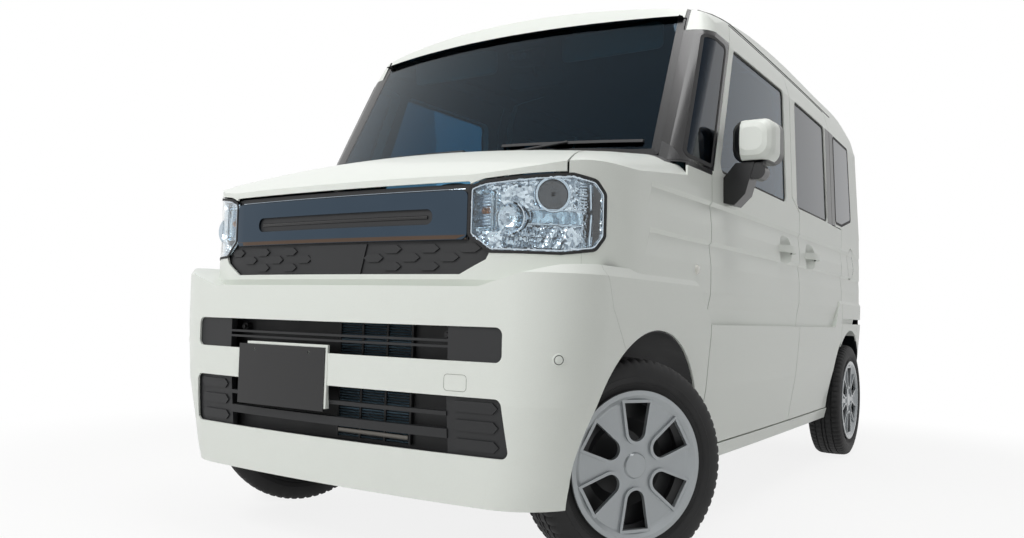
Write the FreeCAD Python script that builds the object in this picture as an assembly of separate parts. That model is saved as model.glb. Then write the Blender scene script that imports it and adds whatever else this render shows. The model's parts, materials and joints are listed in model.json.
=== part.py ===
"""Tall kei-class wagon: a boxy four-wheeled car with hinged front doors, sliding rear doors, bonnet and tailgate.

Frame: millimetres, +Z up, +X towards the car's own left, the nose faces -Y. The origin is on the ground under the
middle of the body. The skin is built from level plans, each made of eight tangent arcs, lofted straight from level
to level, so that a crease in the metal is simply a level. Two vaults, lofted from cross-sections, close the bonnet
and the roof. Every outer panel is cut from that one skin, with shut gaps between neighbours.
"""

import FreeCAD
import Part
import math
import os
from collections import namedtuple

V = FreeCAD.Vector

# ---------------------------------------------------------------- driving dimensions
LENGTH = 3395.0          # plate to rear bumper
WIDTH = 1475.0           # over the wheel-arch flares, mirrors left out
HEIGHT = 1785.0          # ground to roof crown
WHEELBASE = 2460.0
FRONT_OVERHANG = 500.0
BELT_Z = 1105.0          # bottom of the side glass
SILL_Z = 262.0           # lower edge of the doors
TYRE_RADIUS = 275.0      # 155/65 R14 under load
TYRE_WIDTH = 155.0
TYRE_TUCK = 10.0         # tyre wall inboard of the flare
RIM_RADIUS = 189.0
STEER_REST = 32.0        # degrees to the car's right, as it is parked
STEER_LOCK = 35.0

SHUT_GAP = 5.0           # between neighbouring panels
FIT = 0.3                # between pieces that seat on each other
SEAM = 0.8               # between panels bolted edge to edge
PLATE_STAND = 3.2        # the number plate's face ahead of the bumper

# layers of the skin, counted inwards from the painted surface
SHEET = 6.0              # outer pressings, lenses and bumper mouldings; glass starts here
GLASS_BACK = 10.0
PANEL_BACK = 26.0
LEAF_BACK = 38.0         # inner face of doors and tailgate
SIDE_BACK = 55.0         # inner face of pillars and sills

# places that follow
HALF = WIDTH / 2
REACH = HALF + 165.0     # beyond the widest piece, for cutting tools
NOSE = -LENGTH / 2 + PLATE_STAND
TAIL = LENGTH / 2
FA = NOSE + FRONT_OVERHANG       # front axle
RA = FA + WHEELBASE              # rear axle
TRACK = WIDTH - TYRE_WIDTH - 2 * TYRE_TUCK
TRACK_X = TRACK / 2
GLASS_TOP_Z = HEIGHT - 232.0
DOOR_TOP_Z = HEIGHT - 135.0
GAP = SHUT_GAP / 2
ARCH_RADIUS = TYRE_RADIUS + 73.0
SIDE_BOW_RADIUS = 60000.0
Y_MID = FA + 1294.0      # widest station of the side bow

Level = namedtuple("Level", "z half front bow_f corner_f tail bow_r corner_r")


# ---------------------------------------------------------------- small geometry helpers
def arc(a, m, b):
    return Part.Arc(a, m, b).toShape()


def circle_meet(c1, r1, c2, r2, towards):
    """The point where two circles in the XY plane cross, on the side that lies nearer to `towards`."""
    dx, dy = c2[0] - c1[0], c2[1] - c1[1]
    d = math.hypot(dx, dy)
    a = (r1 * r1 - r2 * r2 + d * d) / (2 * d)
    h = math.sqrt(max(r1 * r1 - a * a, 0.0))
    mx, my = c1[0] + a * dx / d, c1[1] + a * dy / d
    pair = [(mx + h * dy / d, my - h * dx / d), (mx - h * dy / d, my + h * dx / d)]
    return min(pair, key=lambda p: math.hypot(p[0] - towards[0], p[1] - towards[1]))


def out_from(centre, through, radius):
    """The point at `radius` from `centre` in the direction of `through`."""
    dx, dy = through[0] - centre[0], through[1] - centre[1]
    d = math.hypot(dx, dy)
    return centre[0] + dx / d * radius, centre[1] + dy / d * radius


def plan_wire(level, inset=0.0):
    """Closed plan outline of a level: nose arc, two sides and tail arc, joined by four tangent corner arcs."""
    z = level.z
    side_c = (HALF - SIDE_BOW_RADIUS, Y_MID)
    side_r = SIDE_BOW_RADIUS + level.half - inset - HALF
    front_c, front_r = (0.0, level.front + level.bow_f), level.bow_f - inset
    tail_c, tail_r = (0.0, level.tail - level.bow_r), level.bow_r - inset
    cf, cr = max(level.corner_f - inset, 12.0), max(level.corner_r - inset, 12.0)
    fc = circle_meet(side_c, side_r - cf, front_c, front_r - cf, (level.half, level.front))
    rc = circle_meet(side_c, side_r - cr, tail_c, tail_r - cr, (level.half, level.tail))
    f1, f2 = out_from(front_c, fc, front_r), out_from(side_c, fc, side_r)
    r1, r2 = out_from(side_c, rc, side_r), out_from(tail_c, rc, tail_r)
    fm = out_from(fc, ((f1[0] + f2[0]) / 2, (f1[1] + f2[1]) / 2), cf)
    rm = out_from(rc, ((r1[0] + r2[0]) / 2, (r1[1] + r2[1]) / 2), cr)
    sm = (side_c[0] + side_r, Y_MID)
    right = [f1, fm, f2, sm, r1, rm, r2]
    pts = [V(0, front_c[1] - front_r, z)] + [V(x, y, z) for x, y in right]
    mirror = [V(-p.x, p.y, z) for p in pts]
    tail = V(0, tail_c[1] + tail_r, z)
    edges = [
        arc(mirror[1], pts[0], pts[1]), arc(pts[1], pts[2], pts[3]), arc(pts[3], pts[4], pts[5]),
        arc(pts[5], pts[6], pts[7]), arc(pts[7], tail, mirror[7]), arc(mirror[7], mirror[6], mirror[5]),
        arc(mirror[5], mirror[4], mirror[3]), arc(mirror[3], mirror[2], mirror[1]),
    ]
    return Part.Wire(edges)


def level_loft(levels, inset=0.0):
    return Part.makeLoft([plan_wire(lv, inset) for lv in levels], True, True)


def outline(points, plane="side", at=0.0):
    """Closed wire through (a, b) points: side = (y, z), front = (x, z), top = (x, y)."""
    place = {"side": lambda a, b: V(at, a, b), "front": lambda a, b: V(a, at, b), "top": lambda a, b: V(a, b, at)}
    pts = [place[plane](a, b) for a, b in points]
    return Part.makePolygon(pts + [pts[0]])


def along(plane, length):
    """Vector of that length along the normal axis of a drawing plane."""
    return {"side": V(length, 0, 0), "front": V(0, length, 0), "top": V(0, 0, length)}[plane]


def prism(points, plane, start, end, grow=0.0):
    """Outline extruded along its normal axis from start to end; grow offsets the outline outwards."""
    face = Part.Face(outline(points, plane, start))
    if grow:
        face = face.makeOffset2D(grow)
    return face.extrude(along(plane, end - start))


def rounded(points, plane, start, end, radius, grow=0.0):
    """A prism whose outline corners are rounded by offsetting in and back out."""
    face = Part.Face(outline(points, plane, start)).makeOffset2D(-radius)
    return face.makeOffset2D(radius + grow).extrude(along(plane, end - start))


def box(x0, x1, y0, y1, z0, z1):
    return Part.makeBox(x1 - x0, y1 - y0, z1 - z0, V(x0, y0, z0))


def rod(radius, a, b):
    a, b = V(*a), V(*b)
    return Part.makeCylinder(radius, (b - a).Length, a, b - a)


def mirrored(shape):
    return shape.mirror(V(0, 0, 0), V(1, 0, 0))


def both(shape):
    return Part.makeCompound([shape, mirrored(shape)])


def with_mirror(points):
    """Outline symmetric about x = 0 from the (x, other) points of its +X half, lowest first."""
    return points + [(-x, b) for x, b in reversed(points)]


def solids(shape, keep=1):
    """The largest solids of a boolean result, as one solid or a compound."""
    parts = sorted(shape.Solids, key=lambda s: -s.Volume)[:keep]
    return parts[0] if keep == 1 else Part.makeCompound(parts)


# ---------------------------------------------------------------- the skin
SIDE_TUCK = [(590, 22.5), (650, 18.5), (690, 15.5), (735, 6.5), (BELT_Z - 95, 6), (BELT_Z, 7.5)]   # (z, in from HALF)
PROUD_TUCK = [(200, 61.5), (255, 47.5), (311, 40.5), (444, 17.5), (600, 3.5), (650, 1), (752, 0), (777, 10.5)]
HOUSE_TUCK = [(BELT_Z, 7.5), (GLASS_TOP_Z, 24.5), (HEIGHT - 165, 42.5), (HEIGHT + 25, 109.5)]
NOSE_TOP_Z = BELT_Z + 95.0
SCREEN_FOOT = (BELT_Z, FA + 47.0)            # (z, y) of the windscreen at the centre line
SCREEN_HEAD = (HEIGHT + 25.0, FA + 434.0)
SCREEN_BOW = 2100.0
TAIL_FOOT = (BELT_Z, TAIL - 35.5)
TAIL_HEAD = (HEIGHT + 25.0, TAIL - 107.5)
TUCK_LOW_Z, TUCK_HIGH_Z = 690.0, 735.0       # the nose steps back between these heights


def main_level(z, half):
    share = min(max((z - TUCK_LOW_Z) / (TUCK_HIGH_Z - TUCK_LOW_Z), 0), 1)
    return Level(z, half, NOSE + 58 - 30 * share, 4500, 300 + 60 * share, TAIL - 34, 6000, 120)


def lower_levels():
    rows = [main_level(z, HALF - tuck) for z, tuck in SIDE_TUCK]
    (z0, t0), (z1, t1) = SIDE_TUCK[-2:]
    return rows + [main_level(NOSE_TOP_Z, HALF - t1 - (t1 - t0) / (z1 - z0) * (NOSE_TOP_Z - z1))]


def line_at(foot, head, z):
    return foot[1] + (head[1] - foot[1]) * (z - foot[0]) / (head[0] - foot[0])


def greenhouse_levels():
    return [Level(z, HALF - tuck, line_at(SCREEN_FOOT, SCREEN_HEAD, z), SCREEN_BOW, 75,
                  line_at(TAIL_FOOT, TAIL_HEAD, z), 6000, 110) for z, tuck in HOUSE_TUCK]


def proud_levels():
    rows = []
    for z, tuck in PROUD_TUCK:
        back = 26 * max(0.0, (460 - z) / 260) + (14 if z > 760 else 0)
        rows.append(Level(z, HALF - tuck, NOSE + back, 5300, 190, TAIL - back, 6000, 150))
    return rows


def section_wire(y, crown, flat_radius, shoulder, half, flare, inset=0.0):
    """Arch-shaped cross-section: bowed top, round shoulders, and sides that splay out by flare per unit height."""
    s, r, big, top = half - inset, max(shoulder - inset, 10.0), flat_radius - inset, crown - inset
    cz = top - big
    sx = s - r
    sz = cz + math.sqrt((big - r) ** 2 - sx ** 2)
    tx, tz = out_from((0, cz), (sx, sz), big)
    mx, mz = out_from((sx, sz), ((tx + s) / 2, (tz + sz) / 2), r)
    base = 400.0
    a, m, b, foot = V(tx, y, tz), V(mx, y, mz), V(s, y, sz), V(s + flare * (sz - base), y, base)
    am, mm, bm, footm = (V(-p.x, p.y, p.z) for p in (a, m, b, foot))
    return Part.Wire([arc(am, V(0, y, top), a), arc(a, m, b), Part.makeLine(b, foot), Part.makeLine(foot, footm),
                      Part.makeLine(footm, bm), arc(bm, mm, am)])


BONNET_STATIONS = [(NOSE - 26, BELT_Z - 165), (NOSE + 22, BELT_Z - 120), (NOSE + 74, BELT_Z - 83),
                   (NOSE + 134, BELT_Z - 53), (NOSE + 214, BELT_Z - 21), (NOSE + 304, BELT_Z + 5),
                   (FA - 66, BELT_Z + 28), (FA + 74, BELT_Z + 48), (FA + 234, BELT_Z + 67)]        # (y, crown height)
ROOF_STATIONS = [(FA + 14, HEIGHT - 220), (FA + 194, HEIGHT - 155), (FA + 342, HEIGHT - 109), (FA + 494, HEIGHT - 69),
                 (FA + 714, HEIGHT - 33), (FA + 1044, HEIGHT - 8), (RA - 966, HEIGHT), (RA - 366, HEIGHT - 6),
                 (TAIL - 348, HEIGHT - 27), (TAIL + 22, HEIGHT - 67)]


def bonnet_vault(inset=0.0):
    wires = [section_wire(y, crown, 5300, 150, HALF + 7.5, 0.0, inset) for y, crown in BONNET_STATIONS]
    return Part.makeLoft(wires, True, False)


def roof_vault(inset=0.0):
    wires = [section_wire(y, crown, 3600, 105, HALF - 32.5, 0.15, inset) for y, crown in ROOF_STATIONS]
    return Part.makeLoft(wires, True, False)


# flared band round the car: side view (y, z), then its upper edge across the nose (x, z)
BLISTER_SIDE = [(NOSE - 50, 150), (NOSE - 50, 800), (FA + 259, 800), (FA + 259, 777), (FA + 394, 640),
                (RA - 378, 640), (RA - 256, 790), (TAIL + 50, 790), (TAIL + 50, 150)]
BLISTER_NOSE = with_mirror([(REACH, 150), (REACH, 800), (HALF - 87.5, 772), (HALF - 267.5, 718)])
BLISTER_NOSE_REACH = FA - 256.0

# long grooves pressed into each side: (height of the sharp upper edge, front end, rear end)
GROOVES = [(BELT_Z - 90, FA - 96, TAIL - 58), (BELT_Z - 212, FA - 104, TAIL - 58)]
GROOVE_DEPTH, GROOVE_STEP, GROOVE_FADE = 8.0, 12.0, 77.0
GROOVE_SURFACE = HALF - 6.0


def groove(top_z, y0, y1, inset):
    """Tool for one groove on +X: a sharp step under its upper edge that fades out downwards and at its front end."""
    x = GROOVE_SURFACE - inset
    section = [(x + 14, top_z), (x, top_z), (x - GROOVE_DEPTH, top_z - GROOVE_STEP), (x, top_z - GROOVE_FADE),
               (x + 14, top_z - GROOVE_FADE)]
    start, end = (math.degrees(math.asin((y - Y_MID) / SIDE_BOW_RADIUS)) for y in (y0 - 60, y1))
    axis = V(HALF - SIDE_BOW_RADIUS, Y_MID, 0)
    face = Part.Face(Part.makePolygon([V(a, Y_MID, b) for a, b in section + section[:1]]))
    face.rotate(axis, V(0, 0, 1), start)
    ring = face.revolve(axis, V(0, 0, 1), end - start)
    corner, down, inward = V(x + 2, y0, top_z), V(0, -39, -100), V(-34, 94, 0)
    cut_face = Part.Face(Part.makePolygon([corner - down - inward, corner + down * 2 - inward,
                                           corner + down * 2 + inward, corner - down + inward,
                                           corner - down - inward]))
    return ring.common(cut_face.extrude(V(0, LENGTH, 0)))


_skins = {}


def skin(inset=0.0):
    """The closed outer form of the whole body, shrunk evenly by inset."""
    if inset in _skins:
        return _skins[inset]
    nose_limit = bonnet_vault(inset).fuse(box(-REACH, REACH, FA + 194, TAIL + 100, 400, BELT_Z))
    lower = level_loft(lower_levels(), inset).common(nose_limit)
    house = level_loft(greenhouse_levels(), inset).common(roof_vault(inset))
    proud = level_loft(proud_levels(), inset).common(prism(BLISTER_SIDE, "side", -REACH, REACH, -inset))
    front_block = box(-REACH, REACH, NOSE - 60, BLISTER_NOSE_REACH, 700, 900)
    above_nose = front_block.cut(prism(BLISTER_NOSE, "front", NOSE - 60, BLISTER_NOSE_REACH, -inset))
    whole = solids(lower.fuse(house).fuse(proud.cut(above_nose)))
    if inset <= SHEET:
        tools = [groove(top_z, y0, y1, inset) for top_z, y0, y1 in GROOVES]
        whole = solids(whole.cut(tools + [mirrored(tool) for tool in tools]))
    _skins[inset] = whole
    return whole


def layer(outer, inner):
    """What lies between two depths of the skin."""
    key = (outer, inner)
    if key not in _skins:
        _skins[key] = skin(outer).cut(skin(inner))
    return _skins[key]


# ---------------------------------------------------------------- seams, windows and arches
DOOR_FRONT_Y = FA + 389.0
DOOR_SPLIT_Y = FA + 1410.0
PILLAR_SPLIT_Y = DOOR_SPLIT_Y - 111.0
SLIDE_REAR_Y = RA - 221.0
# side outlines, (y, z)
FRONT_DOOR = [(DOOR_FRONT_Y, SILL_Z), (DOOR_FRONT_Y, BELT_Z - 10), (DOOR_FRONT_Y + 15, BELT_Z + 5),
              (FA + 575, GLASS_TOP_Z - 3), (FA + 649, DOOR_TOP_Z), (PILLAR_SPLIT_Y, DOOR_TOP_Z),
              (PILLAR_SPLIT_Y, BELT_Z + 45), (DOOR_SPLIT_Y, BELT_Z - 5), (DOOR_SPLIT_Y, SILL_Z)]
SLIDE_DOOR = [(DOOR_SPLIT_Y, SILL_Z), (DOOR_SPLIT_Y, BELT_Z - 5), (PILLAR_SPLIT_Y, BELT_Z + 45),
              (PILLAR_SPLIT_Y, DOOR_TOP_Z), (SLIDE_REAR_Y - 223, DOOR_TOP_Z), (SLIDE_REAR_Y - 213, BELT_Z + 10),
              (SLIDE_REAR_Y, BELT_Z + 10), (SLIDE_REAR_Y, SILL_Z)]
FRONT_WINDOW = [(FA + 455, BELT_Z + 13), (FA + 619, GLASS_TOP_Z), (PILLAR_SPLIT_Y - 87, GLASS_TOP_Z + 3),
                (PILLAR_SPLIT_Y - 87, BELT_Z + 11)]
SLIDE_WINDOW = [(PILLAR_SPLIT_Y + 75, BELT_Z + 11), (PILLAR_SPLIT_Y + 75, GLASS_TOP_Z + 3),
                (SLIDE_REAR_Y - 330, GLASS_TOP_Z + 3), (SLIDE_REAR_Y - 315, BELT_Z + 11)]
REAR_QUARTER = [(SLIDE_REAR_Y - 135, BELT_Z + 26), (SLIDE_REAR_Y - 140, GLASS_TOP_Z - 3), (TAIL - 435, GLASS_TOP_Z - 3),
                (TAIL - 401, BELT_Z + 75), (SLIDE_REAR_Y + 7, BELT_Z + 26)]
FRONT_QUARTER = [(FA + 192, BELT_Z + 18), (FA + 386, BELT_Z + 16), (FA + 545, GLASS_TOP_Z - 13),
                 (FA + 406, GLASS_TOP_Z - 5)]
PILLAR_TRIM = [(FA + 60, BELT_Z + 7), (DOOR_FRONT_Y + 40, BELT_Z + 7), (FA + 640, GLASS_TOP_Z + 14),
               (FA + 330, GLASS_TOP_Z + 14)]
BUMPER_SIDE = [(NOSE - 40, 150), (NOSE - 40, 840), (FA - 306, 840), (FA - 306, 766), (FA - 288, 742), (FA - 262, 673),
               (FA - 197, 590), (FA - 150, 540), (FA - 150, 150)]
REAR_BUMPER_SIDE = [(RA + 134, 150), (RA + 134, 590), (RA + 254, 722), (RA + 276, 760), (TAIL + 62, 760),
                    (TAIL + 62, 150)]
FENDER_SIDE = [(NOSE - 50, 540), (NOSE - 50, BELT_Z + 145), (FA + 184, BELT_Z + 145), (FA + 184, BELT_Z + 6),
               (DOOR_FRONT_Y, BELT_Z - 5), (DOOR_FRONT_Y, SILL_Z), (FA + 94, SILL_Z), (FA, 540)]
BODY_SIDE = [(DOOR_FRONT_Y - 205, 214), (DOOR_FRONT_Y - 205, BELT_Z + 5), (FA + 554, HEIGHT + 15),
             (TAIL + 22, HEIGHT + 15), (TAIL + 22, 214)]
# outlines seen from ahead or behind, (x, z)
GATE_HALF = HALF - 137.5
TAIL_GATE = with_mirror([(GATE_HALF, 470), (GATE_HALF, BELT_Z - 30), (HALF - 82, BELT_Z + 5),
                         (GATE_HALF, HEIGHT - 95)])
TAIL_WINDOW = with_mirror([(GATE_HALF - 12, BELT_Z - 5), (GATE_HALF - 60, HEIGHT - 225)])
TAIL_LAMP = [(GATE_HALF + SHUT_GAP, 775), (GATE_HALF + SHUT_GAP, BELT_Z - 35), (HALF, BELT_Z - 20), (HALF, 790)]
SCREEN_WINDOW = with_mirror([(HALF - 93, BELT_Z + 20), (HALF - 118, HEIGHT - 168)])
LAMP_IN_X = HALF - 322.5
LAMP_FRONT = [(LAMP_IN_X, BELT_Z - 263), (LAMP_IN_X, BELT_Z - 145), (LAMP_IN_X + 40, BELT_Z - 131),
              (HALF - 104, BELT_Z - 107), (REACH, BELT_Z - 90), (REACH, BELT_Z - 306), (LAMP_IN_X + 55, BELT_Z - 305)]
LAMP_SIDE = [(NOSE - 80, BELT_Z - 330), (NOSE - 80, BELT_Z - 60), (FA - 350, BELT_Z - 102), (FA - 272, BELT_Z - 118),
             (FA - 246, BELT_Z - 150), (FA - 246, BELT_Z - 258), (FA - 272, BELT_Z - 293), (FA - 350, BELT_Z - 306)]
GRILLE_IN_X = LAMP_IN_X - SEAM
GRILLE = with_mirror([(GRILLE_IN_X - 18, 748), (GRILLE_IN_X + 48, 784), (GRILLE_IN_X + 55.2, BELT_Z - 305.6),
                      (GRILLE_IN_X, BELT_Z - 263.6), (GRILLE_IN_X, BELT_Z - 137)])
GRILLE_BAR = with_mirror([(GRILLE_IN_X - 2, 832), (GRILLE_IN_X - 2, 952)])
GRILLE_SLOT = with_mirror([(LAMP_IN_X - 102, 870), (LAMP_IN_X - 102, 909)])
UPPER_MOUTH = with_mirror([(HALF - 201, 541), (HALF - 201, 623)])
LOWER_MOUTH = with_mirror([(HALF - 187, 320), (HALF - 202, 458)])
# outlines seen from above, (x, y)
COWL_Y = FA + 44.0
COWL_HALF = HALF - 189.5
BONNET_TOP = with_mirror([(HALF - 97.5, NOSE - 30), (HALF - 104.5, NOSE + 134), (HALF - 177.5, NOSE + 364),
                          (COWL_HALF, COWL_Y)])
COWL_TOP = with_mirror([(COWL_HALF, COWL_Y), (COWL_HALF, FA + 209)])
ROOF_EDGE_X = HALF - 115.5
DITCH_HALF = 7.0


def side_prism(points, grow=0.0):
    """Cuts through one side of the body only, +X."""
    return prism(points, "side", 300, REACH, grow)


def nose_prism(points, grow=0.0):
    return prism(points, "front", NOSE - 60, FA - 231, grow)


def screen_prism(points, grow=0.0):
    return prism(points, "front", FA, FA + 594, grow)


def tail_prism(points, grow=0.0):
    return prism(points, "front", TAIL - 178, TAIL + 62, grow)


def lamp_region(grow=0.0):
    """Space of the left headlamp: its outline from ahead, rounded off where it wraps on to the side."""
    ahead = rounded(LAMP_FRONT, "front", NOSE - 60, FA - 231, 16, grow)
    return ahead.common(rounded(LAMP_SIDE, "side", 300, REACH, 24, grow))


def both_lamps(grow=0.0):
    lamp = lamp_region(grow)
    return [lamp, mirrored(lamp)]


def arch_cut(axle_y, radius, x0=380.0, x1=REACH):
    return Part.makeCylinder(radius, x1 - x0, V(x0, axle_y, TYRE_RADIUS), V(1, 0, 0))


def arches(radius):
    return arch_cut(FA, radius).fuse(arch_cut(RA, radius))


def four_arches(radius):
    one_side = arches(radius)
    return one_side.fuse(mirrored(one_side))


def pane(cut):
    """Dropping or sliding window glass: the layer of the skin behind the sheet metal, within the window's prism."""
    return solids(layer(SHEET, GLASS_BACK).common(cut))


def bonded_pane(cut):
    """Fixed glass, flush with the paint round it."""
    return solids(layer(0, SHEET).common(cut))


def side_window(points, radius, grow=0.0):
    return rounded(points, "side", 300, REACH, radius, grow)


def settled(shape, axis=V(1, 0, 0)):
    """Stands a piece cut to the skin off it by the fitting clearance."""
    shape.translate(axis * FIT)
    return shape


# ---------------------------------------------------------------- doors, lids and fixed panels
POCKET_LOW_Z, POCKET_HIGH_Z = SILL_Z + 68.0, BELT_Z - 45.0
FRONT_POCKET = [(DOOR_FRONT_Y + 65, POCKET_LOW_Z), (DOOR_FRONT_Y + 65, POCKET_HIGH_Z),
                (DOOR_SPLIT_Y - 66, POCKET_HIGH_Z), (DOOR_SPLIT_Y - 66, POCKET_LOW_Z)]
SLIDE_POCKET = [(DOOR_SPLIT_Y + 64, POCKET_LOW_Z), (DOOR_SPLIT_Y + 64, POCKET_HIGH_Z),
                (SLIDE_REAR_Y - 145, POCKET_HIGH_Z), (SLIDE_REAR_Y - 145, 700), (SLIDE_REAR_Y - 262, POCKET_LOW_Z)]
WINDOW_CORNER = 28.0
POCKET_CORNER = 40.0
HANDLE_Z = BELT_Z - 172.0
FRONT_HANDLE_Y = DOOR_SPLIT_Y - 206.0
SLIDE_HANDLE_Y = DOOR_SPLIT_Y + 184.0
HANDLE_HALF, HANDLE_TALL = 105.0, 26.0
CUP_RADIUS, CUP_DEPTH, CUP_HALF, CUP_WALL = 80.0, 26.0, 26.0, 4.0


def side_face_x(y):
    """Half width of the painted side at the height of the door handles."""
    return GROOVE_SURFACE - (y - Y_MID) ** 2 / (2 * SIDE_BOW_RADIUS)


def cup_form(y, radius):
    """Rounded bar lying outside the door: what it cuts from the skin is the finger recess."""
    x = side_face_x(y) + CUP_RADIUS - CUP_DEPTH
    y0, y1 = y - CUP_HALF, y + CUP_HALF
    slope = radius * math.sqrt(0.5)
    wire = Part.Wire([arc(V(x, y0 - radius, HANDLE_Z), V(x, y0 - slope, HANDLE_Z + slope), V(x, y0, HANDLE_Z + radius)),
                      Part.makeLine(V(x, y0, HANDLE_Z + radius), V(x, y1, HANDLE_Z + radius)),
                      arc(V(x, y1, HANDLE_Z + radius), V(x, y1 + slope, HANDLE_Z + slope),
                          V(x, y1 + radius, HANDLE_Z)),
                      Part.makeLine(V(x, y1 + radius, HANDLE_Z), V(x, y0 - radius, HANDLE_Z))])
    return Part.Face(wire).revolve(V(x, y, HANDLE_Z), V(0, 1, 0), 360)


def door(seam, window, pocket, axle_y, arch_margin, handle_y):
    """A door leaf as thick as the real one: closed box section, window opening, hollow below the belt, handle cup."""
    leaf = layer(0, LEAF_BACK).common(side_prism(seam, -GAP).cut(arch_cut(axle_y, ARCH_RADIUS + arch_margin)))
    leaf = leaf.cut(side_window(window, WINDOW_CORNER))
    leaf = leaf.cut(layer(SHEET, PANEL_BACK).common(side_window(pocket, POCKET_CORNER)))
    cup = cup_form(handle_y, CUP_RADIUS + CUP_WALL).common(layer(0, LEAF_BACK))
    return solids(leaf.fuse(cup).cut(cup_form(handle_y, CUP_RADIUS)))


def handle(y):
    """Bowed pull bar over the finger recess, its feet on the door."""
    x, low = side_face_x(y), HANDLE_Z - HANDLE_TALL / 2
    y0, y1, foot = y - HANDLE_HALF, y + HANDLE_HALF, 26.0
    outer = arc(V(x - 8, y0, low), V(x + 34, y, low), V(x - 8, y1, low))
    inner = arc(V(x - 8, y1 - foot, low), V(x + 20, y, low), V(x - 8, y0 + foot, low))
    ends = [Part.makeLine(V(x - 8, y1, low), V(x - 8, y1 - foot, low)),
            Part.makeLine(V(x - 8, y0 + foot, low), V(x - 8, y0, low))]
    bar = Part.Face(Part.Wire([outer, ends[0], inner, ends[1]])).extrude(V(0, 0, HANDLE_TALL))
    return settled(solids(bar.cut(skin(0))))


FUEL_Y, FUEL_Z, FUEL_RADIUS = RA + 13.0, BELT_Z - 145.0, 76.0
NECK_WIDE, NECK_TALL = 12.0, 20.0


def fuel_disc(grow):
    return Part.makeCylinder(FUEL_RADIUS + grow, 300, V(600, FUEL_Y, FUEL_Z), V(1, 0, 0))


def fuel_lid():
    """Round filler door with the short gooseneck that carries it at its front edge."""
    y = FUEL_Y - FUEL_RADIUS + 8
    neck = layer(SHEET, PANEL_BACK).common(box(600, REACH, y, y + NECK_WIDE, FUEL_Z - NECK_TALL / 2,
                                               FUEL_Z + NECK_TALL / 2))
    return solids(layer(0, SHEET).common(fuel_disc(-GAP)).fuse(settled(neck)))


def fender_region(grow=0.0):
    """Space of the left front wing: all of the side ahead of the door, but not the pillar that stands on it."""
    pillar = level_loft(greenhouse_levels(), -SEAM).common(box(0, REACH, FA, FA + 594, BELT_Z + 6, HEIGHT))
    return side_prism(FENDER_SIDE, grow).cut(pillar)


def pillar_trim_region(grow=0.0):
    """Space of the black moulding round the front quarter window, from windscreen to door."""
    return side_prism(PILLAR_TRIM, grow).cut([screen_prism(SCREEN_WINDOW), side_prism(FRONT_DOOR, GAP),
                                              side_prism(FENDER_SIDE, SEAM)])


def tail_lamp_region(grow=0.0):
    return prism(TAIL_LAMP, "front", TAIL - 75 - grow, TAIL + 62, grow)


SILL_TOP_Z = 345.0
POST_DEPTH = 28.0
# (front, rear, bottom, top) of the members inboard of the doors: sill, hinge post, centre post, rear post
INNER_POSTS = [(DOOR_FRONT_Y - 37, SLIDE_REAR_Y - 140, 214, SILL_TOP_Z),
               (DOOR_FRONT_Y - 88, DOOR_FRONT_Y - 17, 214, BELT_Z),
               (DOOR_SPLIT_Y - 66, DOOR_SPLIT_Y + 59, SILL_TOP_Z - 5, HEIGHT - 85),
               (SLIDE_REAR_Y - 140, SLIDE_REAR_Y - 45, 640, BELT_Z)]
ROOF_LOW_Z = HEIGHT - 225.0
RAIL_LOW_Z, RAIL_HIGH_Z = 655.0, 680.0
QUARTER_CORNER, FRONT_QUARTER_CORNER = 22.0, 18.0


def inner_post(region):
    """A member of even depth that follows the inner face of the body side."""
    whole = skin(SIDE_BACK).common(region)
    behind = whole.copy()
    behind.translate(V(-POST_DEPTH, 0, 0))
    return whole.cut(behind)


# rubber strips on the members, on which the closed doors rest: (front, rear, bottom, top)
SEAL_LOW, SEAL_HIGH = SILL_Z + 40.0, BELT_Z - 25.0
SEAL_WIDE = 14.0
DOOR_SEALS = [(DOOR_FRONT_Y + 40, DOOR_SPLIT_Y - 16, SEAL_LOW, SEAL_LOW + SEAL_WIDE),
              (DOOR_SPLIT_Y + 16, SLIDE_REAR_Y - 172, SEAL_LOW, SEAL_LOW + SEAL_WIDE),
              (DOOR_SPLIT_Y - 16 - SEAL_WIDE, DOOR_SPLIT_Y - 16, SEAL_LOW, SEAL_HIGH),
              (DOOR_SPLIT_Y + 16, DOOR_SPLIT_Y + 16 + SEAL_WIDE, SEAL_LOW, SEAL_HIGH)]


def door_seals():
    strips = [box(600, REACH, y0, y1, z0, z1) for y0, y1, z0, z1 in DOOR_SEALS]
    return skin(LEAF_BACK + FIT).common(strips[0].fuse(strips[1:])).cut(skin(SIDE_BACK))


def rail_slot():
    """Long slot behind the sliding door, in which its roller arm runs."""
    return layer(0, PANEL_BACK).common(box(300, REACH, SLIDE_REAR_Y - 60, RA + 334, RAIL_LOW_Z, RAIL_HIGH_Z))


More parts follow.
